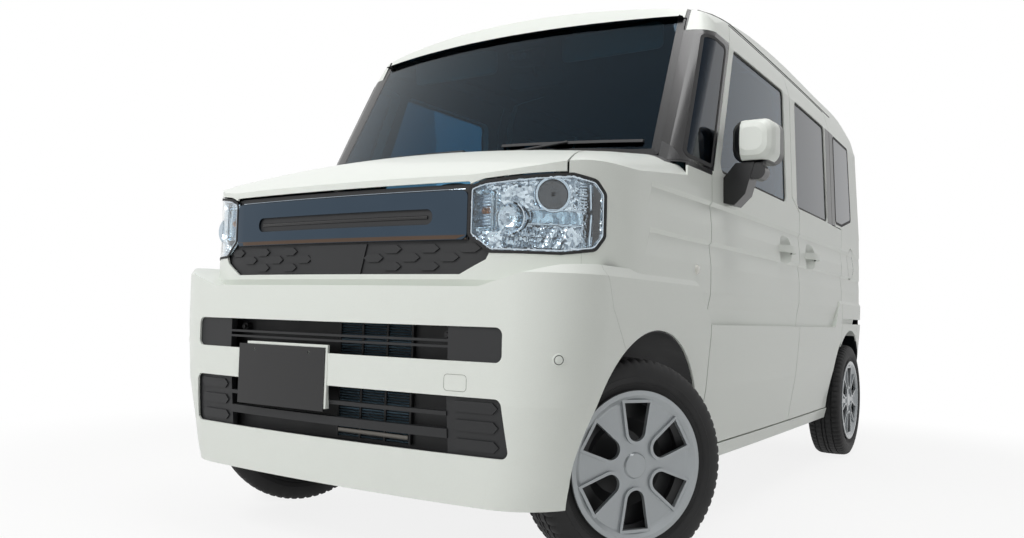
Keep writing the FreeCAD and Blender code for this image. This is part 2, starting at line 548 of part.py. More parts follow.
def body_side():
    """Left body side: sill, pillars, roof rail and rear quarter in one deep pressing, open at doors and windows."""
    pillar = level_loft(greenhouse_levels()).common(box(COWL_HALF + 14, REACH, FA, FA + 594, BELT_Z + 7, HEIGHT))
    openings = [side_prism(FRONT_DOOR, GAP), side_prism(SLIDE_DOOR, GAP), side_prism(REAR_BUMPER_SIDE, SEAM),
                side_prism(FENDER_SIDE, SEAM).cut(pillar), arches(ARCH_RADIUS),
                side_window(REAR_QUARTER, QUARTER_CORNER), side_window(FRONT_QUARTER, FRONT_QUARTER_CORNER),
                box(0, ROOF_EDGE_X + DITCH_HALF, FA + 94, TAIL + 62, ROOF_LOW_Z, HEIGHT + 115),
                tail_prism(TAIL_GATE, GAP), screen_prism(SCREEN_WINDOW)]
    shell = layer(0, SIDE_BACK).common(side_prism(BODY_SIDE).fuse(pillar).cut(openings))
    posts = [inner_post(box(300, REACH, y0, y1, z0, z1).cut(arches(ARCH_RADIUS))) for y0, y1, z0, z1 in INNER_POSTS]
    trims = pillar_trim_region(FIT).fuse(tail_lamp_region(SEAM))
    return solids(shell.fuse(posts + [door_seals()]).cut([layer(0, SHEET).common(trims), rail_slot()]))


def roof_panel():
    half = ROOF_EDGE_X - DITCH_HALF
    region = box(-half, half, FA + 194, TAIL + 3, ROOF_LOW_Z, HEIGHT + 115)
    return solids(layer(0, PANEL_BACK).common(region.cut([screen_prism(SCREEN_WINDOW), tail_prism(TAIL_GATE, GAP)])))


def pillar_garnish():
    """Left black mouldings: the one round the front quarter window and the strip that fills the roof ditch."""
    moulding = solids(layer(0, SHEET).common(pillar_trim_region().cut(
        side_window(FRONT_QUARTER, FRONT_QUARTER_CORNER))))
    low, high = ROOF_EDGE_X - DITCH_HALF + FIT, ROOF_EDGE_X + DITCH_HALF - FIT
    ditch = box(low, high, FA + 194, TAIL + 3, ROOF_LOW_Z + FIT, HEIGHT + 115).cut(screen_prism(SCREEN_WINDOW, FIT))
    return Part.makeCompound([moulding, solids(layer(SHEET, PANEL_BACK).common(ditch))])


def tail_lamp():
    return solids(layer(0, SHEET).common(tail_lamp_region()))


def front_fender():
    """Left front wing: thin pressing from lamp to door, open over the wheel."""
    low, high = BELT_Z - 165, BELT_Z + 195
    region = fender_region().cut([prism(BONNET_TOP, "top", low, high, GAP), lamp_region(SEAM),
                                  prism(COWL_TOP, "top", low, high, SEAM), side_prism(BUMPER_SIDE, SEAM),
                                  side_prism(FRONT_DOOR, GAP), arches(ARCH_RADIUS), nose_prism(GRILLE, SEAM)])
    return solids(layer(0, SHEET).common(region))


def bonnet():
    region = prism(BONNET_TOP, "top", BELT_Z - 165, BELT_Z + 195, -GAP)
    return solids(layer(0, SHEET).common(region.cut(both_lamps(SHUT_GAP) + [nose_prism(GRILLE, SHUT_GAP)])))


SEAL_DEPTH, SEAL_REACH = 8.0, 25.0


def bonnet_seal():
    """Rubber ledge under the rear edge of the bonnet, rooted in the cowl."""
    half = COWL_HALF - 8
    top, under = bonnet_vault(SHEET + FIT), bonnet_vault(SHEET + SEAL_DEPTH)
    ledge = top.common(box(-half, half, COWL_Y - SEAL_REACH, COWL_Y + 8, BELT_Z - 100, HEIGHT))
    root = bonnet_vault(SHEET - 1).common(box(-half, half, COWL_Y + FIT, COWL_Y + 8, BELT_Z - 100, HEIGHT))
    return ledge.fuse(root).cut(under)


def cowl_tray():
    """Grille panel between bonnet and windscreen, its back edge following the foot of the glass."""
    region = prism(COWL_TOP, "top", BELT_Z - 55, BELT_Z + 85)
    tray = layer(0, SHEET).common(region).fuse(bonnet_seal())
    return solids(tray.cut(level_loft(greenhouse_levels(), -FIT)))


PLATE_X, PLATE_Z = -157.0, 472.5
PLATE_W, PLATE_H, PLATE_THICK = 330.0, 165.0, 2.0
PLATE_SCREW_PITCH, PLATE_SCREW_UP, PLATE_SCREW_R = 210.0, 68.0, 3.0
BOSS_SHOWS = 7.0         # the boss stands out beyond the plate, above it and on one side


def plate_screws():
    holes = [Part.makeCylinder(PLATE_SCREW_R, 60, V(PLATE_X + s * PLATE_SCREW_PITCH / 2, NOSE - 30,
                                                    PLATE_Z + PLATE_SCREW_UP), V(0, 1, 0)) for s in (-1, 1)]
    return holes[0].fuse(holes[1])


def number_plate():
    y = NOSE - PLATE_STAND
    plate = box(PLATE_X - PLATE_W / 2, PLATE_X + PLATE_W / 2, y, y + PLATE_THICK, PLATE_Z - PLATE_H / 2,
                PLATE_Z + PLATE_H / 2)
    return plate.cut(plate_screws())


def front_bumper():
    """Wrap-round front bumper with upper and lower intakes and the boss that carries the number plate."""
    region = prism(BUMPER_SIDE, "side", -REACH, REACH).cut(both_lamps(SEAM) + [
        nose_prism(GRILLE, FIT), rounded(UPPER_MOUTH, "front", NOSE - 60, FA - 366, 18),
        rounded(LOWER_MOUTH, "front", NOSE - 60, FA - 366, 18), four_arches(ARCH_RADIUS)])
    shell = solids(layer(0, SHEET).common(region))
    boss = box(PLATE_X - PLATE_W / 2 + 30, PLATE_X + PLATE_W / 2 + BOSS_SHOWS, NOSE - PLATE_STAND + PLATE_THICK + FIT,
               NOSE + 20, PLATE_Z - 75, PLATE_Z + PLATE_H / 2 + BOSS_SHOWS)
    return solids(shell.fuse(boss.cut(skin(SHEET))).cut(plate_screws()))


def rear_bumper():
    region = prism(REAR_BUMPER_SIDE, "side", -REACH, REACH).cut([tail_prism(TAIL_GATE, GAP),
                                                                 four_arches(ARCH_RADIUS)])
    slot = rail_slot()
    return solids(layer(0, SHEET).common(region).cut([slot, mirrored(slot)]))


def tailgate():
    """Tailgate leaf with its window opening and the raised moulding over the number plate that hides the handle."""
    leaf = layer(0, LEAF_BACK).common(tail_prism(TAIL_GATE, -GAP))
    moulding = rounded(with_mirror([(330, BELT_Z - 330), (318, BELT_Z - 268)]), "front", TAIL - 70, TAIL - 14, 14)
    leaf = leaf.cut(rounded(TAIL_WINDOW, "front", TAIL - 198, TAIL + 62, 40))
    return solids(leaf.fuse(moulding.cut(skin(SHEET))))


# ---------------------------------------------------------------- nose trim
BUMP_HALF, BUMP_TALL, BUMP_TIP = 32.0, 10.5, 15.0
# rows of six-sided studs under the grille bar: (height, places from the centre line)
STUD_ROWS = [(812, (185, 300, 415)), (790, (127, 242, 357)), (768, (185, 300))]
CENTRE_PANEL = with_mirror([(85, 748), (105, 826)])


def stud(x, z):
    a, b, tip = BUMP_HALF, BUMP_TALL, BUMP_TIP
    return [(x - a, z), (x - a + tip, z + b), (x + a - tip, z + b), (x + a, z), (x + a - tip, z - b),
            (x - a + tip, z - b)]


def grille_mesh():
    """Black backing of the grille; its studs, its centre panel and the seat of the bar stand up from it."""
    studs = [nose_prism(stud(side * x, z)) for z, places in STUD_ROWS for x in places for side in (-1, 1)]
    raised = nose_prism(CENTRE_PANEL).fuse(studs + [nose_prism(GRILLE_BAR)])
    backing = layer(GLASS_BACK, PANEL_BACK).common(nose_prism(GRILLE))
    return solids(backing.fuse(layer(SHEET, PANEL_BACK).common(raised.common(nose_prism(GRILLE)))))


def grille_bar():
    region = rounded(GRILLE_BAR, "front", NOSE - 60, FA - 366, 16)
    return solids(layer(0, SHEET).common(region.cut(rounded(GRILLE_SLOT, "front", NOSE - 60, FA - 366, 18))))


def headlamp_lenses():
    return both(solids(layer(0, SHEET).common(lamp_region())))


def headlamp_bowls():
    """Lamp bodies behind the lenses: open-fronted trays."""
    tray = layer(SHEET, LEAF_BACK).common(lamp_region(-3.0))
    return both(solids(tray.cut(layer(SHEET, PANEL_BACK).common(lamp_region(-9.0)))))


# louvred end pieces and cross bars of the bumper mouths
UPPER_END, LOWER_END = 387.0, 384.0
UPPER_BARS = [(571, 577), (585, 591)]
LOWER_BARS = [(410, 420), (356, 378)]
LOUVRES = [(422, 448), (377, 403), (332, 358)]
LOUVRE_IN, LOUVRE_OUT, LOUVRE_TIP = 398.0, 524.0, 13.0


def end_pieces(mouth, inner):
    """The two outer ends of a mouth, from inner outwards, with a rim that lies behind the bumper."""
    region = nose_prism(mouth, 8)
    return region.cut(box(-inner, inner, NOSE - 70, FA, 150, 800))


def louvre(side, low, high):
    middle = (low + high) / 2
    points = [(LOUVRE_IN, middle), (LOUVRE_IN + LOUVRE_TIP, high), (LOUVRE_OUT - LOUVRE_TIP, high),
              (LOUVRE_OUT, middle), (LOUVRE_OUT - LOUVRE_TIP, low), (LOUVRE_IN + LOUVRE_TIP, low)]
    return nose_prism([(side * x, z) for x, z in points])


def bars(rows, half):
    return [box(-half, half, NOSE - 70, FA, low, high) for low, high in rows]


def bumper_grilles():
    """Black inserts of the two mouths: plain ends above, louvred ends below, and the bars between them."""
    upper = end_pieces(UPPER_MOUTH, UPPER_END).fuse(bars(UPPER_BARS, UPPER_END + 1))
    lower_ends = end_pieces(LOWER_MOUTH, LOWER_END)
    louvres = [louvre(side, low, high) for low, high in LOUVRES for side in (-1, 1)]
    rims = lower_ends.cut(nose_prism(LOWER_MOUTH, -1))
    raised = rims.fuse(louvres + bars(LOWER_BARS, LOWER_END + 1))
    lower = layer(SHEET, PANEL_BACK).common(raised).fuse(layer(GLASS_BACK, PANEL_BACK).common(lower_ends))
    return Part.makeCompound([solids(layer(SHEET, PANEL_BACK).common(upper)), solids(lower)])


DUCT_DEPTH, DUCT_WALL = 60.0, 4.0


def intake_duct(low, high, half):
    """Tray behind a bumper mouth: back wall with a floor, a ceiling and ends reaching the inserts."""
    y = NOSE + SHEET + FIT
    walls = []
    floor, ceiling = low - 10, high + 10
    for x0, x1, z0, z1 in ((-half, half, floor, floor + DUCT_WALL), (-half, half, ceiling - DUCT_WALL, ceiling),
                           (-half, -half + DUCT_WALL, floor, ceiling), (half - DUCT_WALL, half, floor, ceiling)):
        walls.append(box(x0, x1, y, y + DUCT_DEPTH + 40, z0, z1))
    back = box(-half, half, y + DUCT_DEPTH, y + DUCT_DEPTH + DUCT_WALL, floor, ceiling)
    return solids(back.fuse(walls).common(skin(PANEL_BACK)))


def bumper_ducts():
    return Part.makeCompound([intake_duct(541, 623, HALF - 181.5), intake_duct(322, 458, HALF - 171.5)])


def windscreen():
    """Bonded front glass, its lower edge behind the bonnet's rear and the cowl."""
    opening = rounded(SCREEN_WINDOW, "front", FA, FA + 594, 12, -FIT)
    return bonded_pane(opening.common(level_loft(greenhouse_levels())))


# ---------------------------------------------------------------- wipers
BLADE_NEAR, BLADE_FAR = -1.0, -12.0
BLADE_TALL = 9.0
PIVOT_RADIUS, ARM_RADIUS = 11.0, 4.5


def blade(x0, z0, x1, z1, region_y):
    """Wiper blade lying along the glass between two points of the front or rear view."""
    strip = prism([(x0, z0), (x0, z0 + BLADE_TALL), (x1, z1 + BLADE_TALL), (x1, z1)], "front", *region_y)
    lofts = [level_loft(greenhouse_levels(), inset) for inset in (BLADE_FAR, BLADE_NEAR)]
    return lofts[0].cut(lofts[1]).common(strip)


def glass_y(x, z):
    """Front face of the windscreen at a place seen from ahead."""
    return line_at(SCREEN_FOOT, SCREEN_HEAD, z) + x * x / (2 * SCREEN_BOW)


def wiper(pivot_x, x0, x1):
    """One windscreen wiper at rest: pivot on the cowl, arm and blade."""
    z, middle = BELT_Z + 62, (x0 + x1) / 2
    pivot_y = max(glass_y(pivot_x, BELT_Z + 30) - 32, COWL_Y + PIVOT_RADIUS + 2)
    strip = blade(x0, z + 8, x1, z, (FA - 20, FA + 400))
    pivot = rod(PIVOT_RADIUS, (pivot_x, pivot_y, BELT_Z), (pivot_x, pivot_y, z - 12))
    arm = rod(ARM_RADIUS, (pivot_x, pivot_y, z - 17), (middle, glass_y(middle, z + 8) - 14, z + 10))
    return settled(solids(strip.fuse([pivot, arm]).cut(skin(0))), V(0, 0, 1))


def wipers():
    return Part.makeCompound([wiper(-HALF + 258, -HALF + 215, 10), wiper(HALF - 537, HALF - 585, HALF - 142)])


def rear_wiper():
    """Wiper of the tailgate window, its pivot below the glass."""
    z = BELT_Z + 8
    y = line_at(TAIL_FOOT, TAIL_HEAD, z)
    strip = blade(-350, z + 26, 20, z + 14, (TAIL - 300, TAIL + 20))
    pivot = rod(PIVOT_RADIUS + 6, (0, y - 20, z - 31), (0, y + 24, z - 31))
    arm = rod(ARM_RADIUS, (0, y + 18, z - 31), (-170, y + 8, z + 24))
    return settled(solids(strip.fuse([pivot, arm]).cut(skin(0))), V(0, 1, 0))


# ---------------------------------------------------------------- structure and cabin
FLOOR_Z = 300.0
FLOOR_THICK = 18.0
TYRE_IN_X = TRACK_X - TYRE_WIDTH / 2
KINGPIN_X = TRACK_X - 70.0
HUB_FACE_X = TRACK_X - 22.0
STEER_SWEEP = TYRE_RADIUS * math.sin(math.radians(STEER_LOCK)) \
    + (KINGPIN_X - TYRE_IN_X) * math.cos(math.radians(STEER_LOCK))
LINER_X = KINGPIN_X - STEER_SWEEP - 13.0         # inner wall of the front wheel house, clear of the steered tyre
TUNNEL_HALF = LINER_X - FIT
DASH_Y = FA + 289.0
DASH_TOP_Z = BELT_Z - 25.0
DASH_THICK = 12.0
DASH_HALF = HALF - 109.5
LOAD_FLOOR_Z = 498.0
KICK_Y = RA - 416.0
CABIN_HALF = HALF - 139.5
HOUSE_INNER_X = HALF - 267.5


def floor_pan():
    """Pressed floor: bulkhead, foot well, kick-up under the rear bench, load floor and rear wheel houses."""
    t = FLOOR_THICK
    front_y, rear_y = FA + ARCH_RADIUS + 14, TAIL - 113
    profile = [(front_y, FLOOR_Z - t), (KICK_Y, FLOOR_Z - t), (KICK_Y, LOAD_FLOOR_Z - t), (rear_y, LOAD_FLOOR_Z - t),
               (rear_y, LOAD_FLOOR_Z), (KICK_Y - t, LOAD_FLOOR_Z), (KICK_Y - t, FLOOR_Z), (front_y, FLOOR_Z)]
    pan = prism(profile, "side", -CABIN_HALF, CABIN_HALF)
    wall_half, wall_low = HALF - 77.5, 640.0
    pan = pan.fuse([box(-TUNNEL_HALF, TUNNEL_HALF, DASH_Y, front_y, FLOOR_Z - t, FLOOR_Z),
                    box(-TUNNEL_HALF, TUNNEL_HALF, DASH_Y, DASH_Y + DASH_THICK, FLOOR_Z - t, DASH_TOP_Z),
                    box(-wall_half, wall_half, DASH_Y, DASH_Y + DASH_THICK, wall_low, DASH_TOP_Z)])
    house = arch_cut(RA, ARCH_RADIUS + 14, HOUSE_INNER_X, CABIN_HALF + 40)
    well = arch_cut(RA, ARCH_RADIUS + 4, HOUSE_INNER_X + 10)
    house = house.cut(box(300, REACH, RA - 566, TAIL + 103, -200, LOAD_FLOOR_Z - t))
    pan = pan.fuse([house, mirrored(house)]).cut([well, mirrored(well)])
    return solids(pan.common(skin(SIDE_BACK)))


def wheel_liners():
    """Front wheel houses: half tubes over the tyres, closed inboard."""
    ring = arch_cut(FA, ARCH_RADIUS - FIT, LINER_X, HALF).cut(arch_cut(FA, ARCH_RADIUS - 4, LINER_X + 4))
    span = box(300, REACH, FA - 606, FA + 394, TYRE_RADIUS + 40, TYRE_RADIUS + ARCH_RADIUS + 277)
    return both(solids(ring.common(span).common(skin(SHEET))))


COLUMN_TILT = 28.0
STEERING_CENTRE = (-HALF + 392.5, FA + 724.0, BELT_Z - 120.0)
COLUMN_RADIUS = 34.0
RIM_SWEEP, RIM_SECTION = 180.0, 15.5


def lean(shape):
    """Tips a shape built round +Z onto the steering column and carries it to the driver's place."""
    turned = shape.copy()
    turned.rotate(V(0, 0, 0), V(1, 0, 0), -(90 - COLUMN_TILT))
    turned.translate(V(*STEERING_CENTRE))
    return turned


def steering_rim():
    """Ring of eight-sided section, flattened like a moulded grip."""
    corners = [math.radians(22.5 + 45 * k) for k in range(8)]
    section = [V(RIM_SWEEP + RIM_SECTION * math.cos(a), 0, RIM_SECTION * math.sin(a)) for a in corners]
    return Part.Face(Part.makePolygon(section + section[:1])).revolve(V(0, 0, 0), V(0, 0, 1), 360)


def steering_wheel():
    hub = Part.makeCylinder(62, 38, V(0, 0, -30))
    spokes = [Part.makeBox(128, 34, 16, V(50, -17, -20)), Part.makeBox(128, 34, 16, V(-178, -17, -20)),
              Part.makeBox(34, 128, 16, V(-17, -178, -20))]
    return solids(lean(steering_rim().fuse([hub] + spokes)))


def dashboard():
    front = DASH_Y + DASH_THICK + FIT
    face = [(front, 860), (front, DASH_TOP_Z - 20), (DASH_Y + 105, BELT_Z + 5), (DASH_Y + 265, BELT_Z),
            (DASH_Y + 320, BELT_Z - 65), (DASH_Y + 305, 850), (DASH_Y + 225, 760), (DASH_Y + 125, 740)]
    body = prism(face, "side", -DASH_HALF, DASH_HALF)
    body = solids(body.cut(lean(Part.makeCylinder(COLUMN_RADIUS + FIT, 400, V(0, 0, -400)))))
    column = lean(Part.makeCylinder(COLUMN_RADIUS, 150, V(0, 0, -30 - FIT - 150)))
    return Part.makeCompound([body, column])


FRONT_SEAT_Y = FA + 844.0
REAR_SEAT_Y = KICK_Y - 480.0
SEAT_SQUEEZE = min(1.0, (REAR_SEAT_Y - FRONT_SEAT_Y) / 700.0)     # shortens the seats of a shorter cabin
SEAT_TOP_Z = 1130.0


def seat(x0, x1, y0, base_z):
    """Cushion and back in one, on its stand, with a separate head rest."""
    def side(rows):
        return [(y0 + y * SEAT_SQUEEZE, z) for y, z in rows]

    top = SEAT_TOP_Z
    cushion = rounded(side([(0, base_z), (0, base_z + 130), (480, base_z + 110), (500, base_z)]), "side", x0, x1, 30)
    back = rounded(side([(425, base_z + 118), (560, top), (650, top), (560, base_z + 70)]), "side", x0, x1, 25)
    head = rounded(side([(585, top + FIT), (610, top + 190), (690, top + 185), (680, top + FIT)]), "side", x0 + 120,
                   x1 - 120, 20)
    stand = box(x0 + 50, x1 - 50, y0 + 60 * SEAT_SQUEEZE, y0 + 440 * SEAT_SQUEEZE, FLOOR_Z + FIT, base_z + 2)
    return [solids(cushion.fuse([back, stand])), head]


def front_seats():
    near, far = 95.0, HALF - 152.5
    return Part.makeCompound(seat(-far, -near, FRONT_SEAT_Y, 540) + seat(near, far, FRONT_SEAT_Y, 540))


def rear_seat():
    near, far = 6.0, HOUSE_INNER_X - 10
    return Part.makeCompound(seat(-far, -near, REAR_SEAT_Y, 545) + seat(near, far, REAR_SEAT_Y, 545))


ENGINE_Y = FA - 306.0


def engine_block():
    return box(-300, 330, ENGINE_Y, DASH_Y - FIT, 260, 760)


def radiator():
    return box(-330, 330, ENGINE_Y - 60, ENGINE_Y - FIT, 300, 690)


POST_RADIUS = 14.0
STUB_RADIUS = 16.0
STRUT_RADIUS = 24.0
STRUT_X = TYRE_IN_X - STRUT_RADIUS - 20.5
ARM_TOP = 182.0


def front_subframe():
    beam = box(-300, 300, FA + 60, FA + 130, 170, 260 - FIT)
    arm = prism([(290, FA + 125), (290, FA + 65), (KINGPIN_X - 20, FA - 18), (KINGPIN_X + 8, FA),
                 (KINGPIN_X - 10, FA + 28)], "top", ARM_TOP - 24, ARM_TOP)
    return solids(beam.fuse([arm, mirrored(arm)]))


def knuckle():
    """Left upright, straight ahead: post on the lower ball joint, stub axle, and the strut inboard of the tyre."""
    x, y, z = KINGPIN_X, FA, TYRE_RADIUS
    post = Part.makeCylinder(POST_RADIUS, z + 96 - ARM_TOP - FIT, V(x, y, ARM_TOP + FIT))
    boss = Part.makeCylinder(40, 32, V(x - 20, y, z), V(1, 0, 0))
    stub = Part.makeCylinder(STUB_RADIUS, HUB_FACE_X + 12 - x, V(x, y, z), V(1, 0, 0))
    bridge = box(STRUT_X - 16, x + 8, y - 16, y + 16, z + 72, z + 96)
    strut = Part.makeCylinder(STRUT_RADIUS, 250, V(STRUT_X, y, z + 60))
    return solids(post.fuse([boss, stub, bridge, strut]))


def rear_beam():
    """Torsion beam: cross tube, trailing arms, brake drums and stub axles."""
    z = TYRE_RADIUS
    beam_y, arm_x = RA - 150, TRACK_X - 105
    beam = rod(30, (-arm_x + 5, beam_y, z + 20), (arm_x - 5, beam_y, z + 20))
    arm = prism([(KICK_Y + FIT, z + 70), (KICK_Y + FIT, z + 110), (beam_y, z + 60), (RA + 50, z + 40),
                 (RA + 50, z - 40), (RA - 20, z - 40), (beam_y, z - 20)], "side", arm_x - 30, arm_x)
    drum = Part.makeCylinder(95, 40, V(arm_x, RA, z), V(1, 0, 0))
    stub = Part.makeCylinder(STUB_RADIUS, HUB_FACE_X + 12 - arm_x - 40, V(arm_x + 40, RA, z), V(1, 0, 0))
    side = arm.fuse([drum, stub])
    return solids(beam.fuse([side, mirrored(side)]))


def fuel_tank():
    top, front, rear = FLOOR_Z - FLOOR_THICK - FIT, KICK_Y - 600, KICK_Y - 90
    return rounded([(front, 190), (front, top), (rear, top), (rear, 190)], "side", -420, 330, 20)


EXHAUST_X, EXHAUST_Z = 380.0, 196.0


def exhaust_pipe():
    x, low = EXHAUST_X, EXHAUST_Z
    pipe = rod(24, (x, FA + 414, low), (x, RA + 94, low))
    can = rod(62, (x, RA + 64, low + 40), (x, RA + 294, low + 40))
    hangers = [box(x - 6, x + 6, y, y + 16, low + 12, FLOOR_Z - FLOOR_THICK - FIT)
               for y in (FA + 694, FA + 1314, KICK_Y - 50)]
    return solids(pipe.fuse([can] + hangers))


# ---------------------------------------------------------------- wheels
BEAD_RADIUS = RIM_RADIUS - 8.0
FLANGE_X = TYRE_WIDTH / 2 - 10.0


def spun(points):
    """Revolves (x, r) points about the X axis."""
    wire = Part.makePolygon([V(x, 0, r) for x, r in points + points[:1]])
    return Part.Face(wire).revolve(V(0, 0, 0), V(1, 0, 0), 360)


def tyre():
    w, r0, r1 = TYRE_WIDTH / 2, BEAD_RADIUS, TYRE_RADIUS
    half = [(w - 14, r0), (w - 12, r0 + 17), (w - 2, r0 + 30), (w, r0 + 48), (w - 3, r1 - 26), (w - 16, r1 - 6),
            (w - 28, r1)]
    return spun(half + [(-x, r) for x, r in reversed(half)])


def wheel():
    """Pressed steel wheel: barrel with flanges and a dished disc bored for the stub axle."""
    w, r0 = FLANGE_X, BEAD_RADIUS - FIT
    barrel = spun([(-w, r0), (-w, r0 + 14), (-w - 3, r0 + 14), (-w - 3, r0 - 4), (-w + 28, r0 - 4),
                   (-w + 40, r0 - 22), (w - 40, r0 - 22), (w - 28, r0 - 4), (w + 3, r0 - 4), (w + 3, r0 + 14),
                   (w, r0 + 14), (w, r0)])
    face, bore = HUB_FACE_X - TRACK_X, STUB_RADIUS + 0.1
    disc = spun([(face, bore), (face, 90), (face + 30, 120), (face + 30, r0 - 10), (face + 34, r0 - 10),
                 (face + 34, 116), (face + 6, 86), (face + 6, bore)])
    return solids(barrel.fuse(disc))


def brake_disc():
    """Rotor with its hat, turning with the wheel."""
    face, bore = HUB_FACE_X - TRACK_X - FIT, STUB_RADIUS + 0.1
    return spun([(face, bore), (face, 74), (face - 18, 74), (face - 18, 118), (face - 28, 118), (face - 28, 66),
                 (face - 6, 66), (face - 6, bore)])


COVER_X = TYRE_WIDTH / 2 - 15.0
WINDOW_R, WINDOW_RIM = 26.0, 8.0
WINDOW_ROOT, WINDOW_TIP, WINDOW_FLARE = 88.0, 161.0, 13.0


def u_shape(radius, tip, half, x0, x1):
    """U outline standing on its round end, a straight-sided tongue that widens outwards, extruded along X."""
    dy, dz = half, tip - WINDOW_ROOT
    far = math.hypot(dy, dz)
    turn = math.atan2(dz, dy) - math.acos(radius / far)
    ty, tz = radius * math.cos(turn), WINDOW_ROOT + radius * math.sin(turn)
    a, b = V(x0, ty, tz), V(x0, -ty, tz)
    wire = Part.Wire([Part.makeLine(V(x0, half, tip), a), arc(a, V(x0, 0, WINDOW_ROOT - radius), b),
                      Part.makeLine(b, V(x0, -half, tip)), Part.makeLine(V(x0, -half, tip), V(x0, half, tip))])
    return Part.Face(wire).extrude(V(x1 - x0, 0, 0))


def wheel_cover():
    """Six-fold trim: a disc with U-shaped windows, round end to the hub, each in a raised rim."""
    x = COVER_X
    lip_x = FLANGE_X + 3 + FIT
    well = BEAD_RADIUS - 5
    disc = spun([(x - 5, 0), (x - 5, well - 5), (lip_x, well), (lip_x, RIM_RADIUS + 4), (lip_x + 4, RIM_RADIUS + 4),
                 (lip_x + 5, RIM_RADIUS - 8), (x + 2, 168), (x, 163), (x, 34), (x + 5, 30), (x + 5, 0)])
    rim_half = WINDOW_R + WINDOW_RIM + WINDOW_FLARE
    for k in range(6):
        frame = u_shape(WINDOW_R + WINDOW_RIM, WINDOW_TIP + WINDOW_RIM, rim_half, x - 3, x + 7)
        window = u_shape(WINDOW_R, WINDOW_TIP, WINDOW_R + WINDOW_FLARE, x - 30, x + 30)
        for shape in (frame, window):
            shape.rotate(V(0, 0, 0), V(1, 0, 0), 60 * k)
        disc = disc.fuse(frame).cut(window)
    return solids(disc)


def placed(shape, axle_y, side, steered):
    """Carries a wheel part built at the origin, outer face to +X, to its corner of the car."""
    out = shape.copy() if side > 0 else mirrored(shape)
    out.translate(V(side * TRACK_X, axle_y, TYRE_RADIUS))
    if steered:
        out.rotate(V(side * KINGPIN_X, axle_y, 0), V(0, 0, 1), -STEER_REST)
    return out


# ---------------------------------------------------------------- mirrors and assembly
MIRROR_X, MIRROR_Y, MIRROR_Z = HALF + 82.0, FA + 519.0, BELT_Z + 110.0
# sections of the mirror's housing from its front to its glass: (y from the middle, half width, half height, radius)
MIRROR_SECTIONS = [(-66, 36, 36, 28), (-61, 50, 51, 34), (-48, 60, 61, 38), (-24, 66, 67, 38), (64, 66, 67, 30)]
MIRROR_ARM = [(-37.5, -30), (25.5, 43), (84.5, 43), (57.5, -55), (22.5, -90), (-37.5, -75)]      # from HALF and BELT_Z


def rounded_wire(y, half_w, half_h, radius):
    x0, x1, z0, z1 = MIRROR_X - half_w, MIRROR_X + half_w, MIRROR_Z - half_h, MIRROR_Z + half_h
    d = radius * (1 - math.sqrt(0.5))
    corners = [((x1 - radius, z0), (x1 - d, z0 + d), (x1, z0 + radius)),
               ((x1, z1 - radius), (x1 - d, z1 - d), (x1 - radius, z1)),
               ((x0 + radius, z1), (x0 + d, z1 - d), (x0, z1 - radius)),
               ((x0, z0 + radius), (x0 + d, z0 + d), (x0 + radius, z0))]
    edges = []
    for k, (a, m, b) in enumerate(corners):
        edges.append(arc(V(a[0], y, a[1]), V(m[0], y, m[1]), V(b[0], y, b[1])))
        follow = corners[(k + 1) % 4][0]
        edges.append(Part.makeLine(V(b[0], y, b[1]), V(follow[0], y, follow[1])))
    return Part.Wire(edges)


def door_mirror():
    """Left mirror: domed housing, the arm on the door that carries it and the small kerb mirror below."""
    wires = [rounded_wire(MIRROR_Y + y, half_w, half_h, radius) for y, half_w, half_h, radius in MIRROR_SECTIONS]
    cap = Part.makeLoft(wires, True, True)
    arm = prism([(HALF + x, BELT_Z + z) for x, z in MIRROR_ARM], "front", MIRROR_Y - 30, MIRROR_Y + 40)
    kerb = rod(26, (HALF + 92, MIRROR_Y - 28, BELT_Z + 14), (HALF + 92, MIRROR_Y + 22, BELT_Z + 14))
    neck = box(HALF + 76, HALF + 108, MIRROR_Y - 20, MIRROR_Y + 16, BELT_Z + 14, BELT_Z + 60)
    return settled(solids(cap.fuse([arm, kerb, neck]).cut(skin(0))))


def mirrored_pair(name, shape):
    return {name + "_left": shape, name + "_right": mirrored(shape)}


def corner_pieces():
    """Tyre, wheel, cover and brake of each corner, and the two steered uprights."""
    parts = {"tyre": tyre(), "wheel": wheel(), "wheel_cover": wheel_cover()}
    upright, disc = knuckle(), brake_disc()
    out = {}
    for name, side in (("left", 1), ("right", -1)):
        post = upright.copy() if side > 0 else mirrored(upright)
        post.rotate(V(side * KINGPIN_X, FA, 0), V(0, 0, 1), -STEER_REST)
        out["knuckle_" + name] = post
        for end, axle_y in (("front", FA), ("rear", RA)):
            for part, shape in parts.items():
                whole = Part.makeCompound([shape, disc]) if part == "wheel" and end == "front" else shape
                out["{}_{}_{}".format(part, end, name)] = placed(whole, axle_y, side, end == "front")
    return out


def panel_pieces():
    side = body_side()
    return {"body_side_left": solids(side.cut(layer(0, PANEL_BACK).common(fuel_disc(GAP)))),
            "body_side_right": mirrored(side), "fuel_lid": fuel_lid(), "front_fenders": both(front_fender()),
            "roof_panel": roof_panel(), "bonnet": bonnet(), "cowl_tray": cowl_tray(), "tailgate": tailgate(),
            "front_bumper": front_bumper(), "rear_bumper": rear_bumper(), "pillar_garnishes": both(pillar_garnish())}


def trim_pieces():
    return {"grille_mesh": grille_mesh(), "grille_bar": grille_bar(), "headlamp_lenses": headlamp_lenses(),
            "headlamp_bowls": headlamp_bowls(), "bumper_ducts": bumper_ducts(), "bumper_grilles": bumper_grilles(),
            "number_plate": number_plate(), "tail_lamps": both(tail_lamp()),
            "wipers": wipers(), "rear_wiper": rear_wiper(),
            "windscreen": windscreen(),
            "tailgate_glass": bonded_pane(rounded(TAIL_WINDOW, "front", TAIL - 198, TAIL + 62, 40, -FIT))}


